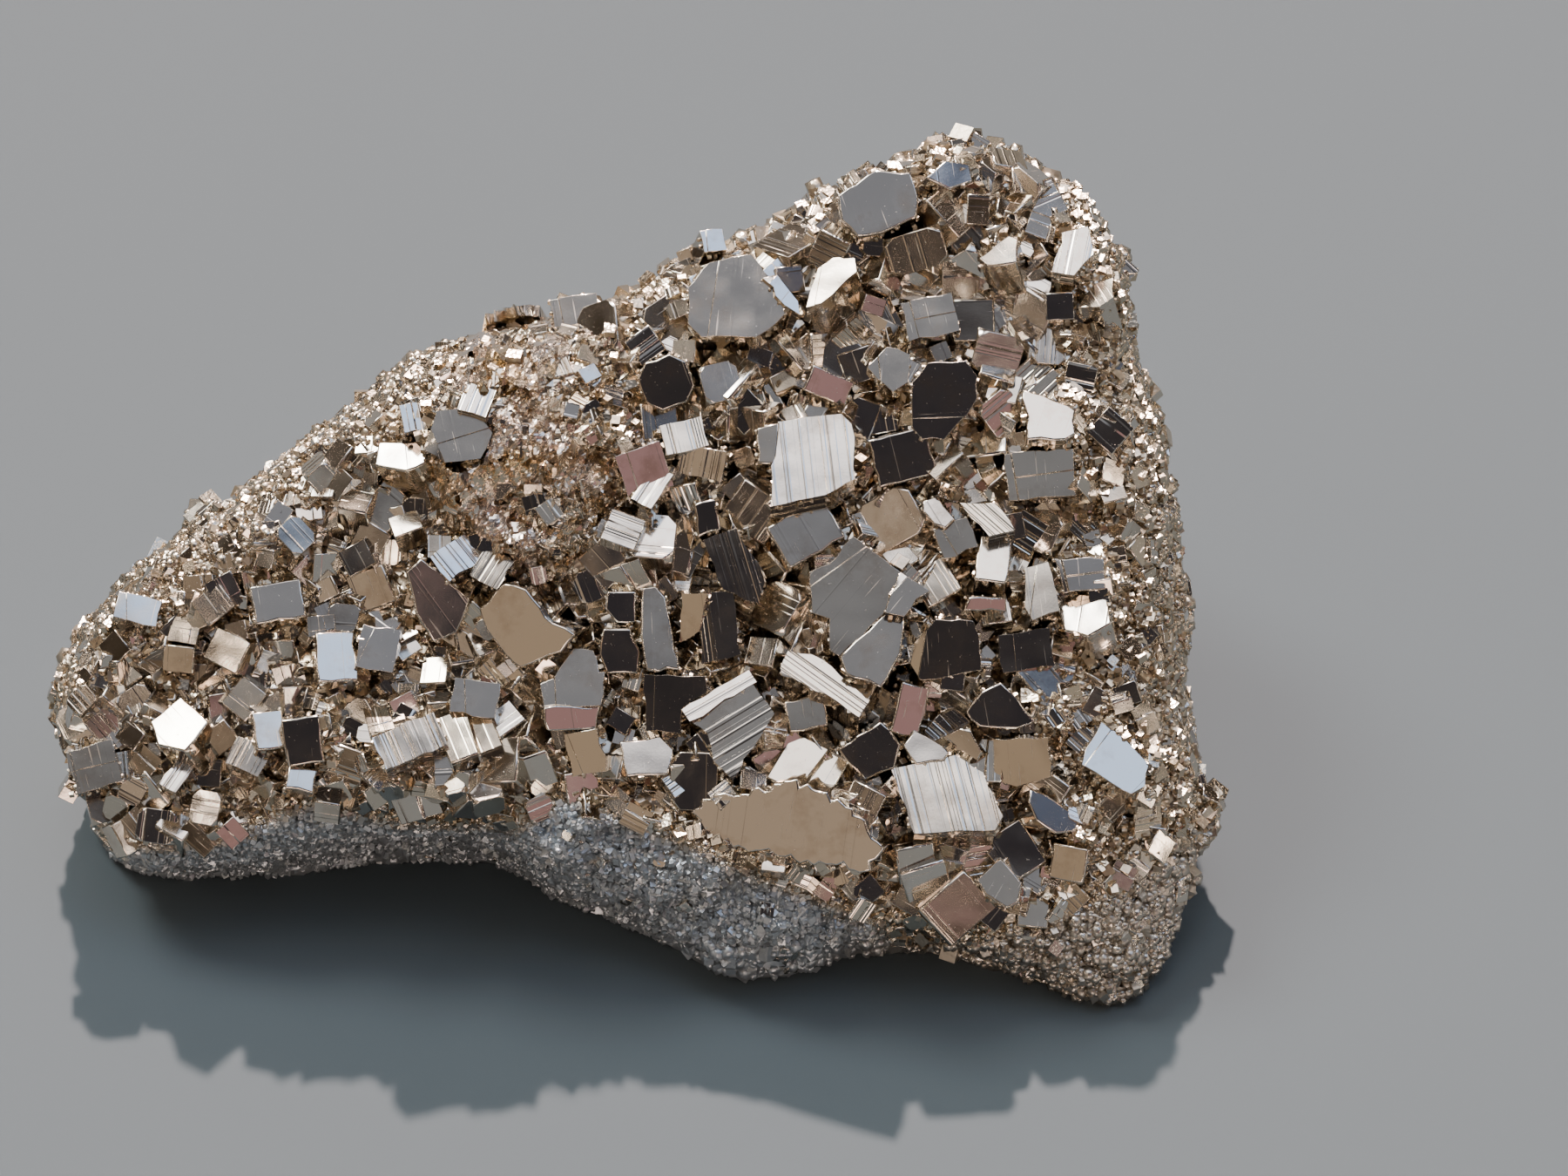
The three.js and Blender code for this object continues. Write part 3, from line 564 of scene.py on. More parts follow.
def stepped_cube():
    """A cube whose front carries two growth terraces."""
    start_box()
    cut((0.14, 0, 0), (1, 0.08, 0))
    cut((0, -0.22, 0), (-0.06, 1, 0))
    select_faces(lambda c, n: n.z > 0.9 and c.x < 0.14)
    raise_selected(0.045)
    select_faces(lambda c, n: n.z > 0.9 and c.x < 0.14 and c.y > -0.22)
    raise_selected(0.03)
    soften_edges(0.018)
    return finish_form()


def trimmed_cube():
    """A cube whose corners are cut off by growth faces."""
    start_box()
    bpy.ops.mesh.select_all(action="SELECT")
    bpy.ops.mesh.bevel(offset=0.2, affect="VERTICES")
    soften_edges(0.02)
    return finish_form()


def small_cube():
    """A cube with softened edges, for the crystals of the crust."""
    start_box()
    soften_edges(0.045)
    return finish_form()


def nicked_cube():
    """A cube with a corner broken away and one growth step."""
    start_box()
    cut((0.1, 0.06, 0), (1, -0.1, 0))
    select_faces(lambda c, n: n.z > 0.9 and c.x > 0.1)
    raise_selected(-0.09)
    soften_edges(0.03)
    return finish_form()


def grain_cube():
    """A tiny cube."""
    start_box()
    return finish_form()


def worn_grain():
    """A tiny rounded crystal: a cube with all its corners cut off as far as the middles of its edges."""
    start_box()
    bpy.ops.mesh.select_all(action="SELECT")
    bpy.ops.mesh.bevel(offset=0.5, affect="VERTICES")
    return finish_form(rounded_below=2.0)


def splinter():
    """A broken lump with flat facets."""
    bpy.ops.object.select_all(action="DESELECT")
    bpy.ops.mesh.primitive_ico_sphere_add(subdivisions=1, radius=0.55, location=(0, 0, -0.5))
    bpy.ops.object.transform_apply(location=True)
    bpy.ops.object.mode_set(mode="EDIT")
    return finish_form()


def chipped(outline, chip_length, chip_depth):
    """An outline whose sides run in short, slightly uneven lengths, as the edges of a real crystal do."""
    points = []
    for start, end in zip(outline, np.roll(outline, -1, axis=0)):
        side = end - start
        length = np.linalg.norm(side)
        across = np.array((side[1], -side[0])) / length
        steps = max(1, round(length / chip_length))
        points.append(start)
        for step in range(1, steps):
            share = (step + RNG.uniform(-0.25, 0.25)) / steps
            points.append(start + side * share + across * RNG.normal() * chip_depth)
    return np.array(points)


def drawn_form(outline, kind):
    """A crystal under a drawn outline, in millimetres, with the growth steps or ridges of its kind."""
    chips = (RAGGED_LENGTH, RAGGED_DEPTH) if kind == "ragged" else (CHIP_LENGTH, CHIP_DEPTH)
    start_prism(chipped(outline, *chips))
    low, high = outline[:, 0].min(), outline[:, 0].max()
    if kind in ("striated", "lined"):
        spacing, height = RIDGES[kind]
        lines = np.arange(low + spacing * RNG.uniform(0.4, 0.8), high - 0.2, spacing)
        lines = lines + RNG.uniform(-0.3, 0.3, len(lines)) * spacing
        for x in lines:
            cut((x, 0, 0), (1, RNG.uniform(-0.01, 0.01), 0))
        bounds = [low, *lines, high]
        for start, end in zip(bounds, bounds[1:]):
            if RNG.random() < RIDGED_SHARE:
                raise_strip(start, end, height * RNG.uniform(0.3, 1.0))
    elif kind == "stepped" or kind == "plain" and RNG.random() < TERRACED_SHARE:
        side = RNG.uniform(0.12, 0.3)
        step = (1 - side) * low + side * high
        cut((step, 0, 0), (1, RNG.uniform(-0.3, 0.3), 0))
        select_faces(lambda c, n: n.z > 0.9 and c.x > step)
        raise_selected(TERRACES[kind])
        if kind == "stepped":
            middle = outline[:, 1].mean()
            cut((0, middle, 0), (RNG.uniform(-0.1, 0.1), 1, 0))
            select_faces(lambda c, n: n.z > 0.9 and c.z > 0.1 and c.y > middle)
            raise_selected(UPPER_TERRACE)
    soften_edges(EDGE_BEVEL, 2)
    return finish_form()


# Joined meshes

def vectors(items, key):
    """A vector that each of a mesh's points or faces has, as rows."""
    values = np.empty(len(items) * 3, np.float32)
    items.foreach_get(key, values)
    return values.reshape(-1, 3).astype(float)


def joined(name, groups, material):
    """One mesh from many placed forms. Each group is a form and, for its copies, places, axes, sizes,
    tones and how strongly the growth lines show."""
    points, loops, corners, across, tones, striae, smooth = [], [], [], [], [], [], []
    offset = 0
    for form, place, axes, size, tone, strength in groups:
        local = form["points"][None] * size[:, None]
        points.append((np.einsum("npj,nij->npi", local, axes) + place[:, None]).reshape(-1, 3))
        count, each = local.shape[:2]
        starts = offset + each * np.arange(count)
        loops.append((form["loops"][None] + starts[:, None]).ravel())
        corners.append(np.tile(form["corners"], count))
        axis = np.repeat(form["axes"], form["corners"])
        corner = local[:, form["loops"]]
        first = np.take_along_axis(corner, ((axis + 1) % 3)[None, :, None].repeat(count, 0), 2)[..., 0]
        second = np.take_along_axis(corner, ((axis + 2) % 3)[None, :, None].repeat(count, 0), 2)[..., 0]
        across.append(np.stack((first + 40 * tone[:, None], second + 90 * tone[:, None]), -1).reshape(-1, 2))
        tones.append(((tone[:, None] + 0.37 * form["axes"][None]) % 1).ravel())
        striae.append(np.repeat(strength, len(form["corners"])))
        smooth.append(np.tile(form["round"], count))
        offset += count * each
    points, loops, corners = np.concatenate(points), np.concatenate(loops), np.concatenate(corners)
    mesh = bpy.data.meshes.new(name)
    mesh.vertices.add(len(points))
    mesh.vertices.foreach_set("co", (points * MM).astype(np.float32).ravel())
    mesh.loops.add(len(loops))
    mesh.loops.foreach_set("vertex_index", loops.astype(np.int32))
    mesh.polygons.add(len(corners))
    mesh.polygons.foreach_set("loop_start", np.concatenate(([0], np.cumsum(corners)[:-1])).astype(np.int32))
    mesh.update(calc_edges=True)
    mesh.polygons.foreach_set("use_smooth", np.concatenate(smooth))
    layer = mesh.uv_layers.new(name="striae")
    layer.data.foreach_set("uv", np.concatenate(across).astype(np.float32).ravel())
    for label, values in (("tone", tones), ("striation", striae)):
        attribute = mesh.attributes.new(label, "FLOAT", "FACE")
        attribute.data.foreach_set("value", np.concatenate(values).astype(np.float32))
    mesh.materials.append(material)
    piece = bpy.data.objects.new(name, mesh)
    bpy.context.scene.collection.objects.link(piece)
    return piece


def grouped(rows):
    """Rows of form, place, axes, size, tone and strength, gathered by form for joined."""
    groups = {}
    for form, *values in rows:
        groups.setdefault(id(form), (form, []))[1].append(values)
    return [(form, *(np.array(column, float) for column in zip(*values)))
            for form, values in groups.values()]


def mark_grey(piece):
    """Marks each face with how much it belongs to the fine grey crust below the ledge."""
    mesh = piece.data
    face = laid_out(vectors(mesh.polygons, "center") / MM)
    below = ledge_at(face[:, 0]) - face[:, 1]
    grey = np.clip(below / 0.8, 0, 1) * np.interp(face[:, 0], GREY_FADES, (1.0, GREY_LEAST))
    mesh.attributes.new("grey", "FLOAT", "FACE").data.foreach_set("value", grey.astype(np.float32))


def declare(piece):
    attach(piece, "root")
    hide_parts(NODE)


# The large crystals

def large_crystals():
    """The crystals that can be told apart: for each, the row for joined, and its outline on its front."""
    girth = even_girth()
    seats = []
    for corners, facing, turn, proud, kind in DRAWN:
        anchor, axes = seated(*np.mean(corners, axis=0), facing, turn, proud, girth)
        outline = np.array([(seen_on(u, v, anchor, axes[:, 2]) - anchor) @ axes for u, v in corners])[:, :2]
        seats.append((anchor, axes, outline, kind))
    for u, v, width, height, facing, turn, proud, kind in CUBES:
        anchor, axes = seated(u, v, facing, turn, proud, girth)
        outline = np.array(OCTAGON if kind == "trimmed" else SQUARE) * (width / 2, height / 2)
        seats.append((anchor, axes, outline, kind))
    rows, crystals = [], []
    for anchor, axes, outline, kind in seats:
        place, axes = stand(anchor), TURN @ axes
        form = drawn_form(outline, kind)
        rows.append((form, place, axes, np.ones(3), RNG.random(), STRIATION.get(kind, 0.0)))
        crystals.append((place, axes, outline * (RAGGED_REACH if kind == "ragged" else 1.0)))
    return rows, crystals


def outline_gap(places, outline):
    """How far places on a face's plane lie outside its outline, or inside it where negative."""
    start = outline
    side = np.roll(outline, -1, axis=0) - start
    way = places[:, None] - start[None]
    share = np.clip((way * side).sum(2) / (side * side).sum(1), 0, 1)
    gap = np.linalg.norm(way - side * share[..., None], axis=2).min(1)
    end = start + side
    level = places[:, None, 1]
    crosses = (start[:, 1] > level) != (end[:, 1] > level)
    with np.errstate(divide="ignore", invalid="ignore"):
        at = start[:, 0] + (level - start[:, 1]) * side[:, 0] / side[:, 1]
    inside = (crosses & (places[:, None, 0] < at)).sum(1) % 2 == 1
    return np.where(inside, -gap, gap)


def close_to(local, depth):
    """Which places, counted from the middle of a large crystal's front, are close to it."""
    level = local[:, 2]
    return (np.abs(local[:, :2]).max(1) < CRYSTAL_REACH) & (level > -depth) & (level < ABOVE_FRONT)


def room_beside(points, crystals, depth):
    """How far each point lies beside the nearest large crystal, negative under it, and below its front."""
    room = np.full(len(points), np.inf)
    below = np.full(len(points), np.inf)
    for place, axes, outline in crystals:
        local = (points - place) @ axes
        near = close_to(local, depth)
        if near.any():
            gap = outline_gap(local[near, :2], outline)
            below[near] = np.where(gap < room[near], -local[near, 2], below[near])
            room[near] = np.minimum(room[near], gap)
    return room, below


# The granular body

def sunk_ground(mesh, points, normals):
    """How deep the ground between the crystals lies at each point, smoothed from zone to zone."""
    zones = zone_of(laid_out(points), (normals @ TURN)[:, 2])
    sunk = np.array([ZONES[zone]["sunk"] for zone in zones])
    ends = np.empty(len(mesh.edges) * 2, np.int32)
    mesh.edges.foreach_get("vertices", ends)
    first, second = ends.reshape(-1, 2).T
    neighbours = np.bincount(first, minlength=len(points)) + np.bincount(second, minlength=len(points))
    for _ in range(GROUND_SMOOTHING):
        total = np.bincount(first, sunk[second], len(points)) + np.bincount(second, sunk[first], len(points))
        sunk = total / neighbours
    return sunk


def granular_body(crystals, material):
    """The solid's own form, remeshed finely and broken into small tilted facets, and its even normals."""
    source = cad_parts[NODE]
    body = source.copy()
    body.data = source.data.copy()
    for key in list(body.keys()):
        del body[key]
    body.parent = None
    body.name = "granular_body"
    bpy.context.scene.collection.objects.link(body)
    bpy.ops.object.select_all(action="DESELECT")
    body.select_set(True)
    bpy.context.view_layer.objects.active = body
    bpy.ops.object.mode_set(mode="EDIT")
    bpy.ops.mesh.select_all(action="SELECT")
    bpy.ops.mesh.remove_doubles(threshold=1e-6)
    bpy.ops.object.mode_set(mode="OBJECT")
    remesh = body.modifiers.new("even", "REMESH")
    remesh.mode = "VOXEL"
    remesh.voxel_size = VOXEL * MM
    bpy.ops.object.modifier_apply(modifier="even")

    points = vectors(body.data.vertices, "co") / MM
    normals = vectors(body.data.vertices, "normal")
    seeds = points[RNG.choice(len(points), size=len(points) // FACET_SHARE, replace=False)]
    tilts = RNG.normal(size=(len(seeds), 3)) * FACET_TILT
    lifts = RNG.uniform(*FACET_LIFT, len(seeds))
    tree = KDTree(len(seeds))
    for i, seed in enumerate(seeds):
        tree.insert(seed, i)
    tree.balance()
    nearest = np.array([tree.find(p)[1] for p in points])
    shift = ((points - seeds[nearest]) * tilts[nearest]).sum(1) + lifts[nearest]
    shift = np.clip(shift, *FACET_LIMITS) + RNG.normal(size=len(points)) * FACET_STRAY
    shift -= sunk_ground(body.data, points, normals)
    shift[points[:, 2] < FOOT["height"]] *= FOOT["share"]
    shifted = points + normals * shift[:, None]
    for place, axes, outline in crystals:
        local = (shifted - place) @ axes
        near = close_to(local, SOCKET["depth"])
        near[near] = outline_gap(local[near, :2], outline) < SOCKET["overlap"]
        shifted[near] -= (local[near, 2] + SOCKET["depth"])[:, None] * axes[:, 2]
    shifted[:, 2] = np.maximum(shifted[:, 2], 0.0)
    body.data.vertices.foreach_set("co", (shifted * MM).astype(np.float32).ravel())
    body.data.update()
    body.data.polygons.foreach_set("use_smooth", np.zeros(len(body.data.polygons), bool))
    body.data.materials.clear()
    body.data.materials.append(material)
    return body, normals


def broken_patch(crystals, material):
    """The broken place on the hump, where the crust has split into hackly splinters."""
    girth = even_girth()
    middle, reach = np.array(BREAK["middle"]), np.array(BREAK["reach"])
    across, along = (2 * reach / BREAK["step"]).astype(int)
    bpy.ops.object.select_all(action="DESELECT")
    bpy.ops.mesh.primitive_grid_add(x_subdivisions=int(across), y_subdivisions=int(along), size=2)
    piece = bpy.context.object
    piece.name = "broken_patch"
    mesh = piece.data
    spread = vectors(mesh.vertices, "co")[:, :2]
    places = middle + spread * reach + RNG.uniform(-0.3, 0.3, spread.shape) * BREAK["step"]
    out = np.linalg.norm(spread, axis=1)
    height = np.array([crust_level(u, v, girth) for u, v in places])
    height -= BREAK["fall"] * np.clip((out - BREAK["from"]) / (1 - BREAK["from"]), 0, 1) ** 1.5
    for length, stray, stand_up in SPLINTERS:
        seeds = places[RNG.integers(len(places), size=int(4 * reach.prod() / length ** 2))]
        tilts = RNG.normal(size=seeds.shape) * stray
        lifts = RNG.uniform(-1, 1, len(seeds)) * stand_up
        tree = KDTree(len(seeds))
        for i, (u, v) in enumerate(seeds):
            tree.insert((u, v * SPLINTER_STRETCH, 0), i)
        tree.balance()
        nearest = np.array([tree.find((u, v * SPLINTER_STRETCH, 0))[1] for u, v in places])
        slope = ((places - seeds[nearest]) * tilts[nearest]).sum(1)
        height += np.clip(slope, -0.6 * length, 0.6 * length) + lifts[nearest]
    points = stand(np.column_stack((places, height)))
    mesh.vertices.foreach_set("co", (points * MM).astype(np.float32).ravel())
    kept = (out < 1) & (room_beside(points, crystals, 3.0)[0] > -0.1)
    for item in (*mesh.vertices, *mesh.edges):
        item.select = False
    for face in mesh.polygons:
        face.select = not kept[list(face.vertices)].all()
    bpy.ops.object.mode_set(mode="EDIT")
    bpy.ops.mesh.select_mode(type="FACE")
    bpy.ops.mesh.delete(type="FACE")
    bpy.ops.object.mode_set(mode="OBJECT")
    slab = piece.modifiers.new("slab", "SOLIDIFY")
    slab.thickness = BREAK["slab"] * MM
    bpy.ops.object.modifier_apply(modifier="slab")
    mesh.materials.append(material)
    return piece


# Scatters

def surface(body, normals):
    """The body's small faces: their middles, even normals, areas and zones."""
    mesh = body.data
    areas = np.empty(len(mesh.polygons), np.float32)
    mesh.polygons.foreach_get("area", areas)
    centres = vectors(mesh.polygons, "center") / MM
    firsts = np.array([p.vertices[0] for p in mesh.polygons])
    facing = normals[firsts]
    zones = zone_of(laid_out(centres), (facing @ TURN)[:, 2])
    return {"where": centres, "facing": facing, "area": areas / MM ** 2, "zone": zones}


def turned(normal):
    """Axes of a crystal: near the normal, leaning away from it at random, and spun; or wholly at random."""
    if RNG.random() < FREELY_TURNED:
        return np.array(Quaternion(RNG.normal(size=4)).normalized().to_matrix())
    facing = Vector(normal).to_track_quat("Z", "Y").to_matrix()
    angle = RNG.uniform(0, 2 * math.pi)
    lean = Quaternion((math.cos(angle), math.sin(angle), 0), RNG.normal() * LEAN_SPREAD)
    spin = Quaternion((0, 0, 1), RNG.uniform(0, math.pi / 2))
    return np.array(facing @ lean.to_matrix() @ spin.to_matrix())


def crust_crystals(skin, crystals, forms):
    """The crystals between the large ones, the greatest first, each where there is room for it, as rows by
    region."""
    picks = RNG.choice(len(skin["area"]), size=CANDIDATES, p=skin["area"] / skin["area"].sum())
    where, facing, zones = skin["where"][picks], skin["facing"][picks], skin["zone"][picks]
    on_rim = (np.abs((facing @ TURN)[:, 2] + 0.1) < 0.45) | (
        outline_gap(laid_out(where)[:, :2], even_girth()[:, :2]) > -RIM_WIDTH)
    room, below = room_beside(where, crystals, 3.0)
    taken = np.zeros((MOST_CRYSTALS, 4))
    count = 0
    regions = {name: [] for name in CRYSTAL_REGIONS}
    for turn in range(max(len(zone["sizes"]) for zone in ZONES.values())):
        for i in RNG.permutation(len(picks)):
            zone = ZONES[zones[i]]
            if turn >= len(zone["sizes"]) or RNG.random() > zone["share"]:
                continue
            size = zone["sizes"][turn] * RNG.uniform(*VARIES)
            gap = GREATER["gap"] if size > GREATER["over"] else SMALLER_GAP
            if room[i] < size * gap or on_rim[i] and size > RIM_CRYSTAL:
                continue
            gaps = np.linalg.norm(taken[:count, :3] - where[i], axis=1)
            if (gaps < (taken[:count, 3] + size) / 2 * CLOSENESS).any():
                continue
            axes = turned(facing[i])
            shape = size * RNG.uniform(*SHAPE_VARIES)
            reach = (np.abs(facing[i] @ axes) * shape).sum() / 2
            rise = size * zone["rise"] * RNG.uniform(*RISE_VARIES) * (RIM_RISE if on_rim[i] else 1.0)
            if room[i] < size * BESIDE_LARGE:
                rise = min(rise, max(below[i] + FRONT_CLEAR, size * LEAST_RISE))
            middle = where[i] + facing[i] * (rise - reach)
            if middle[2] < (np.abs(axes[2]) * shape).sum() / 2 + 0.15:
                continue
            taken[count] = (*where[i], size)
            count += 1
            form = forms[RNG.choice(tuple(CRUST_FORMS), p=tuple(CRUST_FORMS.values()))]
            strength = RNG.choice(tuple(CRUST_STRIATION), p=tuple(CRUST_STRIATION.values()))
            region = next(name for name, members in CRYSTAL_REGIONS.items() if zones[i] in members)
            row = (form, middle + axes[:, 2] * shape[2] / 2, axes, shape, RNG.random(), strength)
            regions[region].append(row)
    return regions


def at_random(count):
    """Axes turned wholly at random."""
    w, x, y, z = RNG.normal(size=(4, count))
    length = np.sqrt(w * w + x * x + y * y + z * z)
    w, x, y, z = w / length, x / length, y / length, z / length
    return np.stack((
        np.stack((1 - 2 * (y * y + z * z), 2 * (x * y - z * w), 2 * (x * z + y * w)), -1),
        np.stack((2 * (x * y + z * w), 1 - 2 * (x * x + z * z), 2 * (y * z - x * w)), -1),
        np.stack((2 * (x * z - y * w), 2 * (y * z + x * w), 1 - 2 * (x * x + y * y)), -1),
    ), 1)


def towards_sun():
    height = math.radians(SUN["height"])
    across = math.radians(SUN["right"])
    level = math.cos(height)
    return np.array((math.sin(across) * level, math.cos(across) * level, math.sin(height)))


def facing_sun(count):
    """Axes whose z lies near the direction that mirrors the sun into the camera."""
    halfway = towards_sun() + TURN[:, 2]
    z = halfway / np.linalg.norm(halfway) + RNG.normal(size=(count, 3)) * GLINT_SPREAD
    z /= np.linalg.norm(z, axis=1, keepdims=True)
    x = np.cross(RNG.normal(size=(count, 3)), z)
    x /= np.linalg.norm(x, axis=1, keepdims=True)
    return np.stack((x, np.cross(z, x), z), -1)


def grain_groups(where, size, axes, round_ones, broken, forms):
    """Grains centred on their places, gathered by form for joined."""
    groups = []
    kinds = np.where(broken, "splinter", np.where(round_ones, "worn", "grain"))
    for kind in ("grain", "worn", "splinter"):
        chosen = kinds == kind
        if not chosen.any():
            continue
        count = chosen.sum()
        shape = size[chosen, None] * RNG.uniform(*VARIES, (count, 3))
        if kind == "splinter":
            shape *= SPLINTER_SHAPE
        centre = where[chosen] + axes[chosen, :, 2] * shape[:, 2:] / 2
        groups.append((forms[kind], centre, axes[chosen], shape, RNG.random(count), np.zeros(count)))
    return groups


def crust_grains(skin, crystals, forms):
    """The grains of every zone, none over a large crystal's face, gathered by region."""
    traits = {key: np.array([ZONES[zone][key] for zone in skin["zone"]])
              for key in ("grain", "cover", "rounded", "glinting")}
    wanted = skin["area"] * traits["cover"] / traits["grain"].mean(1) ** 2
    picks = RNG.choice(len(wanted), size=int(wanted.sum()), p=wanted / wanted.sum())
    least, greatest = traits["grain"][picks].T
    size = least + (greatest - least) * RNG.random(len(picks)) ** SIZE_SKEW
    room, _ = room_beside(skin["where"][picks], crystals, 2.0)
    keep = (room > size * 0.1) & (skin["where"][picks, 2] > size * 0.9)
    picks, size = picks[keep], size[keep]
    zones = skin["zone"][picks]
    waves = np.sin(laid_out(skin["where"][picks]) / GLINT_PATCH + PATCH_OFFSET).sum(1)
    glinting = RNG.random(len(size)) < traits["glinting"][picks] * (waves > PATCH_LIMIT) * PATCH_GAIN
    size[glinting] *= GLINT_SIZE
    lift = size * (RNG.uniform(*GRAIN_LIFT, len(size)) + GLINT_LIFT * glinting)
    places = skin["where"][picks] + skin["facing"][picks] * lift[:, None]
    round_ones = RNG.random(len(size)) < traits["rounded"][picks]
    broken = (zones == "hump") & ~glinting & (RNG.random(len(size)) < SPLINTERED)
    axes = at_random(len(size))
    axes[glinting] = facing_sun(glinting.sum())
    regions = {}
    for region, members in GRAIN_REGIONS.items():
        chosen = np.isin(zones, members)
        regions[region] = grain_groups(places[chosen], size[chosen], axes[chosen],
                                       (round_ones & ~glinting)[chosen], broken[chosen], forms)
    return regions


def edge_grains(crystals, forms):
    """Tiny grains that line the edges of the large crystals."""
    where = []
    for place, axes, outline in crystals:
        for start, end in zip(outline, np.roll(outline, -1, axis=0)):
            for share in RNG.random(int(np.linalg.norm(end - start) * EDGE_GRAINS)):
                x, y = start + (end - start) * share
                where.append(place + axes @ (x, y, -RNG.uniform(*EDGE_GRAIN_DEPTH)))
    where = np.array(where)
    count = len(where)
    size = RNG.uniform(*EDGE_GRAIN, count)
    glinting = RNG.random(count) < EDGE_GLINTS
    axes = at_random(count)
    axes[glinting] = facing_sun(glinting.sum())
    return grain_groups(where, size, axes, ~glinting, np.zeros(count, bool), forms)


# Materials

def growth_faces():
    """Pyrite as it grew: a pale brassy metal, mirror-smooth between fine parallel growth lines.

    Its faces mirror whatever they look at, so that neighbours read white, grey, tan or near black."""
    material = bpy.data.materials.new("pyrite growth faces")
    material.use_nodes = True
    tree = material.node_tree
    shader = tree.nodes["Principled BSDF"]
    shader.inputs["Metallic"].default_value = 1.0
    tone = add_node(tree, "ShaderNodeAttribute", {"attribute_name": "tone"})
    striation = add_node(tree, "ShaderNodeAttribute", {"attribute_name": "striation"})
    spot = add_node(tree, "ShaderNodeTexCoord")
    lines_map = add_node(tree, "ShaderNodeUVMap", {"uv_map": "striae"})
    # patches of tarnish, 2.4 mm across
    tarnish = add_node(tree, "ShaderNodeTexNoise",
                       {"Scale": per_metre(2.38), "Detail": 4.0, "Roughness": 0.65},
                       {"Vector": spot.outputs["Object"]})
    clean = add_node(tree, "ShaderNodeMix",
                     {"data_type": "RGBA", 6: linear("#CBC5BB"), 7: linear("#C2B8A6")},
                     {0: tone.outputs["Fac"]})
    patch = add_node(tree, "ShaderNodeMapRange", {"From Min": 0.52, "From Max": 0.72, "To Max": 0.6},
                     {"Value": tarnish.outputs["Fac"]})
    colour = add_node(tree, "ShaderNodeMix", {"data_type": "RGBA", 7: linear("#A39482")},
                      {0: patch.outputs["Result"], 6: clean.outputs[2]})
    tree.links.new(colour.outputs[2], shader.inputs["Base Color"])
    polish = add_node(tree, "ShaderNodeMapRange",
                      {"From Min": 0.35, "From Max": 0.7, "To Min": 0.09, "To Max": 0.2},
                      {"Value": tarnish.outputs["Fac"]})
    # growth pits, finer in life, drawn 0.14 mm across to show
    pits = add_node(tree, "ShaderNodeTexNoise", {"Scale": per_metre(0.143), "Detail": 2.0},
                    {"Vector": spot.outputs["Object"]})
    specks = add_node(tree, "ShaderNodeMapRange", {"From Min": 0.7, "From Max": 0.78, "To Max": 0.3},
                      {"Value": pits.outputs["Fac"]})
    # scratches at a slant, on a map in millimetres: 0.11 mm wide and up to 4 mm long
    askew = add_node(tree, "ShaderNodeMapping", {"Rotation": (0, 0, 0.35), "Scale": (1.0, 0.03, 1.0)},
                     {"Vector": lines_map.outputs["UV"]})
    scoring = add_node(tree, "ShaderNodeTexNoise", {"Scale": 9.0, "Detail": 1.0},
                       {"Vector": askew.outputs["Vector"]})
    scratches = add_node(tree, "ShaderNodeMapRange", {"From Min": 0.7, "From Max": 0.76, "To Max": 0.3},
                         {"Value": scoring.outputs["Fac"]})
    wear = add_node(tree, "ShaderNodeMath", {"operation": "MAXIMUM"},
                    {0: specks.outputs["Result"], 1: scratches.outputs["Result"]})
    roughness = add_node(tree, "ShaderNodeMath", {"operation": "ADD"},
                         {0: polish.outputs["Result"], 1: wear.outputs[0]})
    tree.links.new(roughness.outputs[0], shader.inputs["Roughness"])
    # growth lines 0.33 mm apart, which run the whole length of a face
    stretch = add_node(tree, "ShaderNodeMapping", {"Scale": (1.0, 0.003, 1.0)},
                       {"Vector": lines_map.outputs["UV"]})
    lines = add_node(tree, "ShaderNodeTexNoise", {"Scale": 3.0, "Detail": 1.0, "Roughness": 0.6},
                     {"Vector": stretch.outputs["Vector"]})
    first_line = add_node(tree, "ShaderNodeMath", {"operation": "MULTIPLY_ADD", 1: -0.24, 2: 0.64},
                          {0: striation.outputs["Fac"]})
    last_line = add_node(tree, "ShaderNodeMath", {"operation": "ADD", 1: 0.1}, {0: first_line.outputs[0]})
    ridges = add_node(tree, "ShaderNodeMapRange", {}, {"Value": lines.outputs["Fac"],
                                                      "From Min": first_line.outputs[0],
                                                      "From Max": last_line.outputs[0]})
    depth = add_node(tree, "ShaderNodeMath", {"operation": "MULTIPLY_ADD", 1: 0.4, 2: 0.12},
                     {0: striation.outputs["Fac"]})
    striae = add_node(tree, "ShaderNodeBump", {"Distance": 0.00006},
                      {"Height": ridges.outputs["Result"], "Strength": depth.outputs[0]})
    # slow waves of a grown face, 5.3 mm long
    sway = add_node(tree, "ShaderNodeTexNoise", {"Scale": per_metre(5.26), "Detail": 2.0},
                    {"Vector": spot.outputs["Object"]})
    waves = add_node(tree, "ShaderNodeBump", {"Distance": 0.0002, "Strength": 0.8},
                     {"Height": sway.outputs["Fac"], "Normal": striae.outputs["Normal"]})
    surface_bump = add_node(tree, "ShaderNodeBump", {"Distance": 0.00001, "Strength": 0.1},
                            {"Height": pits.outputs["Fac"], "Normal": waves.outputs["Normal"]})
    tree.links.new(surface_bump.outputs["Normal"], shader.inputs["Normal"])
    return material


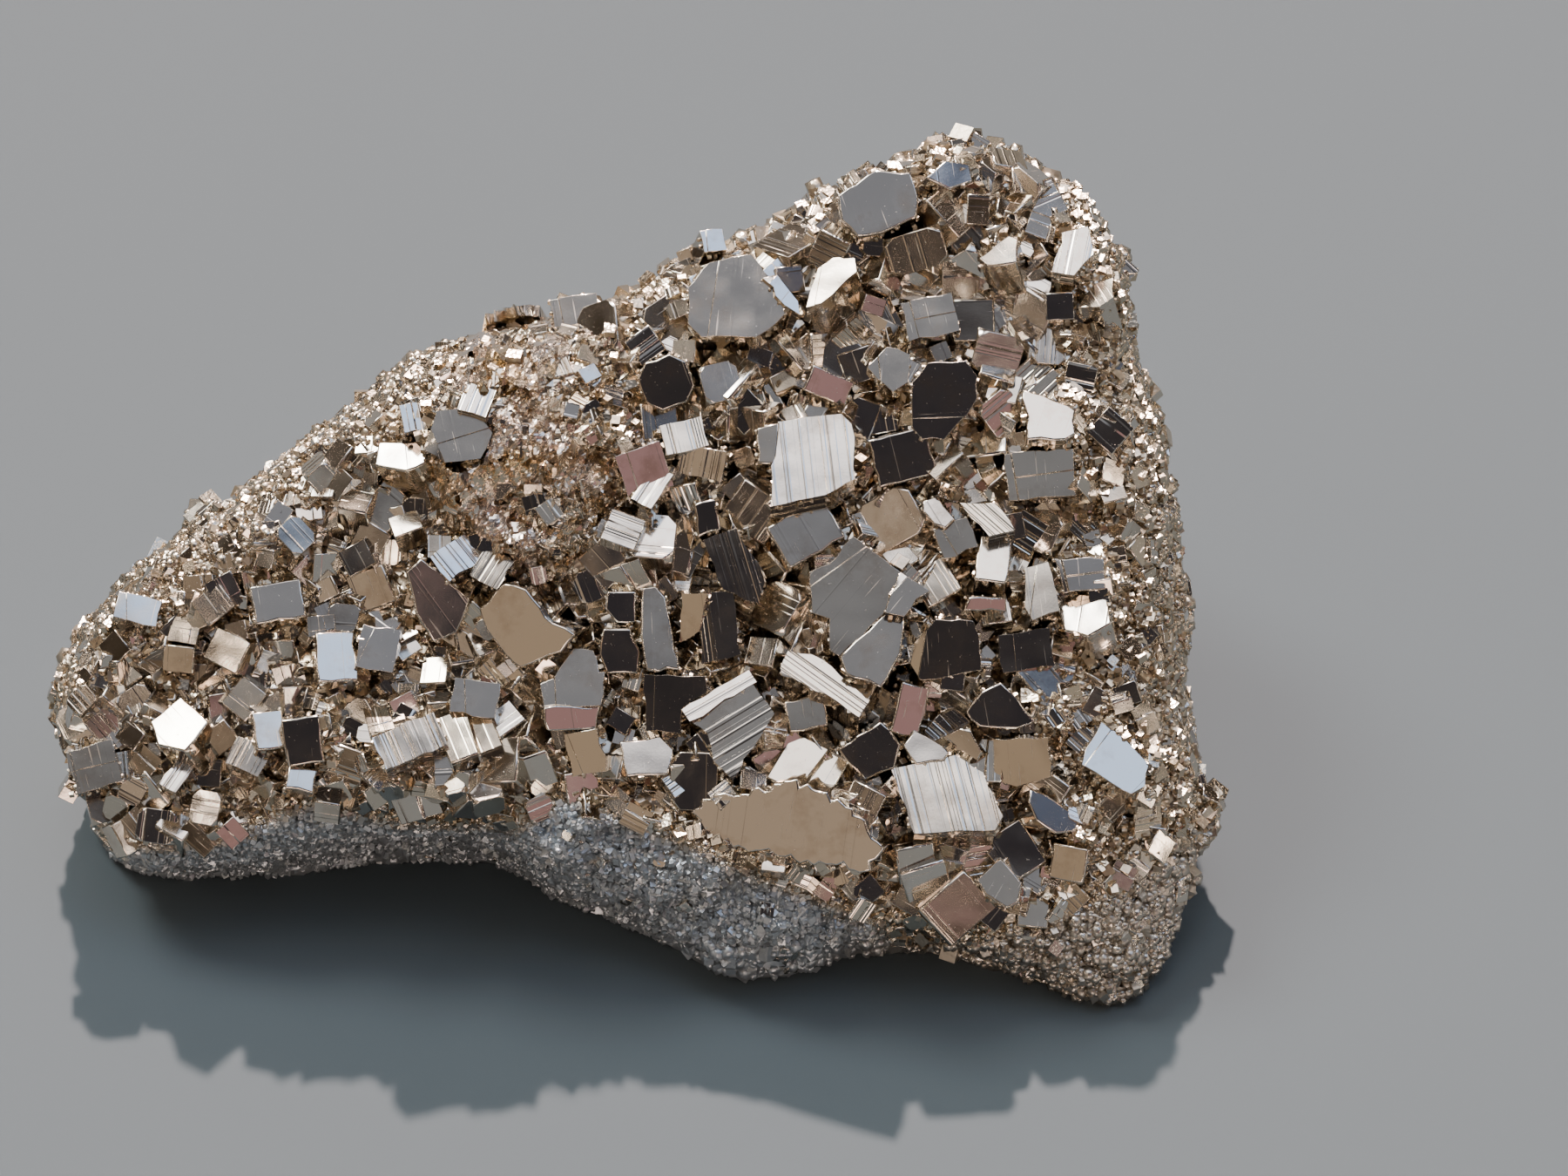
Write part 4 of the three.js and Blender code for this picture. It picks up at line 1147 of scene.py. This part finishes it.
def granular_crust():
    """Pyrite as a crust of tiny crystals: the same metal, a little duller and more golden by its own
    reflections between the grains."""
    material = bpy.data.materials.new("pyrite granular crust")
    material.use_nodes = True
    tree = material.node_tree
    shader = tree.nodes["Principled BSDF"]
    spot = add_node(tree, "ShaderNodeTexCoord")
    tone = add_node(tree, "ShaderNodeAttribute", {"attribute_name": "tone"})
    # paler and browner areas of the crust, 3.8 mm across
    broad = add_node(tree, "ShaderNodeTexNoise", {"Scale": per_metre(3.85), "Detail": 3.0},
                     {"Vector": spot.outputs["Object"]})
    colour = add_node(tree, "ShaderNodeMix",
                      {"data_type": "RGBA", 6: linear("#CEC3B1"), 7: linear("#A89B84")},
                      {0: broad.outputs["Fac"]})
    grey = add_node(tree, "ShaderNodeAttribute", {"attribute_name": "grey"})
    shade = add_node(tree, "ShaderNodeMix", {"data_type": "RGBA", 7: linear("#A6ADB0")},
                     {0: grey.outputs["Fac"], 6: colour.outputs[2]})
    tree.links.new(shade.outputs[2], shader.inputs["Base Color"])
    polish = add_node(tree, "ShaderNodeMapRange", {"To Min": 0.16, "To Max": 0.34},
                      {"Value": tone.outputs["Fac"]})
    roughness = add_node(tree, "ShaderNodeMath", {"operation": "MULTIPLY_ADD", 1: 0.16},
                         {0: grey.outputs["Fac"], 2: polish.outputs["Result"]})
    tree.links.new(roughness.outputs[0], shader.inputs["Roughness"])
    metal = add_node(tree, "ShaderNodeMath", {"operation": "MULTIPLY_ADD", 1: -0.2, 2: 1.0},
                     {0: grey.outputs["Fac"]})
    tree.links.new(metal.outputs[0], shader.inputs["Metallic"])
    # grit between the modelled grains, 0.18 mm across
    grit = add_node(tree, "ShaderNodeTexVoronoi", {"Scale": per_metre(0.182)},
                    {"Vector": spot.outputs["Object"]})
    surface_bump = add_node(tree, "ShaderNodeBump", {"Distance": 0.00004, "Strength": 0.4},
                            {"Height": grit.outputs["Distance"]})
    tree.links.new(surface_bump.outputs["Normal"], shader.inputs["Normal"])
    return material


def fresh_break():
    """Pyrite broken open: bright, with the small curved steps of a hackly fracture."""
    material = bpy.data.materials.new("pyrite fresh break")
    material.use_nodes = True
    tree = material.node_tree
    shader = tree.nodes["Principled BSDF"]
    shader.inputs["Metallic"].default_value = 1.0
    spot = add_node(tree, "ShaderNodeTexCoord")
    # brassy stains, 2 mm across
    stain = add_node(tree, "ShaderNodeTexNoise", {"Scale": per_metre(2.0), "Detail": 3.0},
                     {"Vector": spot.outputs["Object"]})
    stained = add_node(tree, "ShaderNodeMapRange", {"From Min": 0.4, "From Max": 0.65},
                       {"Value": stain.outputs["Fac"]})
    colour = add_node(tree, "ShaderNodeMix",
                      {"data_type": "RGBA", 6: linear("#DACFC3"), 7: linear("#BFAD8C")},
                      {0: stained.outputs["Result"]})
    tree.links.new(colour.outputs[2], shader.inputs["Base Color"])
    polish = add_node(tree, "ShaderNodeMapRange", {"To Min": 0.12, "To Max": 0.3},
                      {"Value": stain.outputs["Fac"]})
    tree.links.new(polish.outputs["Result"], shader.inputs["Roughness"])
    # the small curved steps of the fracture, 0.5 mm across
    hackles = add_node(tree, "ShaderNodeTexVoronoi", {"Scale": per_metre(0.5)},
                       {"Vector": spot.outputs["Object"]})
    steps = add_node(tree, "ShaderNodeBump", {"Distance": 0.0001, "Strength": 0.3},
                     {"Height": hackles.outputs["Distance"]})
    tree.links.new(steps.outputs["Normal"], shader.inputs["Normal"])
    return material


# Studio

def towards(right, up):
    """The direction that lies so many degrees right of and above the camera, seen from the specimen."""
    turning = Matrix.Rotation(math.radians(-up), 3, "X") @ Matrix.Rotation(math.radians(right), 3, "Y")
    return Vector(TURN @ np.array(turning @ Vector((0, 0, 1))))


def shining(hex_colour, strength):
    return [c * strength for c in linear(hex_colour)[:3]] + [1.0]


def studio_world():
    """Soft panels and boards around the specimen and many small lamps, which its faces mirror, and a plain
    pale backdrop."""
    world = bpy.data.worlds.new("studio")
    bpy.context.scene.world = world
    world.use_nodes = True
    tree = world.node_tree
    tree.nodes.clear()
    spot = add_node(tree, "ShaderNodeTexCoord")
    shade = add_node(tree, "ShaderNodeTexNoise", {"Scale": ROOM["scale"], "Detail": 1.0},
                     {"Vector": spot.outputs["Generated"]})
    shading = add_node(tree, "ShaderNodeMapRange", {"interpolation_type": "SMOOTHSTEP", "From Min": 0.46,
                                                    "From Max": 0.64}, {"Value": shade.outputs["Fac"]})
    room = add_node(tree, "ShaderNodeMix",
                    {"data_type": "RGBA", 6: linear(ROOM["dark"]), 7: linear(ROOM["light"])},
                    {0: shading.outputs["Result"]})
    lamps = add_node(tree, "ShaderNodeTexVoronoi", {"Scale": LAMPS["scale"]},
                     {"Vector": spot.outputs["Generated"]})
    lit = add_node(tree, "ShaderNodeMapRange", {
        "interpolation_type": "SMOOTHSTEP",
        "From Min": LAMPS["reach"],
        "From Max": LAMPS["reach"] * 0.7,
    }, {"Value": lamps.outputs["Distance"]})
    lamplit = add_node(tree, "ShaderNodeMix",
                       {"data_type": "RGBA", 7: shining(LAMPS["colour"], LAMPS["strength"])},
                       {0: lit.outputs["Result"], 6: room.outputs[2]})
    last = lamplit.outputs[2]
    for name, right, up, radius, softness, colour, strength in CARDS:
        near = add_node(tree, "ShaderNodeVectorMath", {"operation": "DOT_PRODUCT", 1: towards(right, up)},
                        {0: spot.outputs["Generated"]})
        edge = add_node(tree, "ShaderNodeMapRange", {
            "interpolation_type": "SMOOTHSTEP",
            "From Min": math.cos(math.radians(radius + softness)),
            "From Max": math.cos(math.radians(max(0, radius - softness))),
        }, {"Value": near.outputs["Value"]})
        card = add_node(tree, "ShaderNodeMix",
                        {"data_type": "RGBA", 7: shining(colour, strength), "label": name},
                        {0: edge.outputs["Result"], 6: last})
        last = card.outputs[2]
    around = add_node(tree, "ShaderNodeBackground", {}, {"Color": last})
    plain = add_node(tree, "ShaderNodeBackground", {"Color": linear(BACKDROP[0]), "Strength": BACKDROP[1]})
    path = add_node(tree, "ShaderNodeLightPath")
    shown = add_node(tree, "ShaderNodeMixShader", {},
                     {0: path.outputs["Is Camera Ray"], 1: around.outputs[0], 2: plain.outputs[0]})
    add_node(tree, "ShaderNodeOutputWorld", {}, {"Surface": shown.outputs[0]})


def studio_floor():
    bpy.ops.object.select_all(action="DESELECT")
    bpy.ops.mesh.primitive_plane_add(size=6.0, location=(0, 0, 0))
    floor = bpy.context.object
    floor.name = "floor"
    material = bpy.data.materials.new("matt paper floor")
    material.use_nodes = True
    shader = material.node_tree.nodes["Principled BSDF"]
    shader.inputs["Base Color"].default_value = linear("#515B5F")
    shader.inputs["Roughness"].default_value = 0.8
    shader.inputs["Specular IOR Level"].default_value = 0.2
    floor.data.materials.append(material)


def studio_sun():
    data = bpy.data.lights.new("low sun", "SUN")
    data.energy = SUN["strength"]
    data.angle = math.radians(SUN["angle"])
    data.color = linear(SUN["colour"])[:3]
    lamp = bpy.data.objects.new("low sun", data)
    bpy.context.scene.collection.objects.link(lamp)
    lamp.rotation_euler = Vector(towards_sun()).to_track_quat("Z", "Y").to_euler()


def camera():
    data = bpy.data.cameras.new("camera")
    data.lens = LENS
    data.sensor_width = 36.0
    data.clip_start = 0.005
    data.clip_end = 20.0
    eye = bpy.data.objects.new("camera", data)
    bpy.context.scene.collection.objects.link(eye)
    aim = stand(CAMERA_AIM) * MM
    outwards = TURN @ np.array((0, 0, 1.0))
    eye.location = aim + outwards * CAMERA_AWAY * MM
    eye.rotation_euler = (FACE_LEAN, 0, 0)
    bpy.context.scene.camera = eye


camera()
studio_floor()
studio_world()
studio_sun()

forms = {"small": small_cube(), "stepped": stepped_cube(), "trimmed": trimmed_cube(), "nicked": nicked_cube(),
         "grain": grain_cube(), "worn": worn_grain(), "splinter": splinter()}
faces_finish = growth_faces()
crust_finish = granular_crust()

large_rows, crystals = large_crystals()
body, even_normals = granular_body(crystals, crust_finish)
skin = surface(body, even_normals)
mark_grey(body)
declare(body)
declare(broken_patch(crystals, fresh_break()))
declare(joined("large_crystals", grouped(large_rows), faces_finish))
for name, rows in crust_crystals(skin, crystals, forms).items():
    declare(joined(name, grouped(rows), faces_finish))
fine = crust_grains(skin, crystals, forms)
fine["grains_on_edges"] = edge_grains(crystals, forms)
for name, groups in fine.items():
    piece = joined(name, groups, crust_finish)
    mark_grey(piece)
    declare(piece)
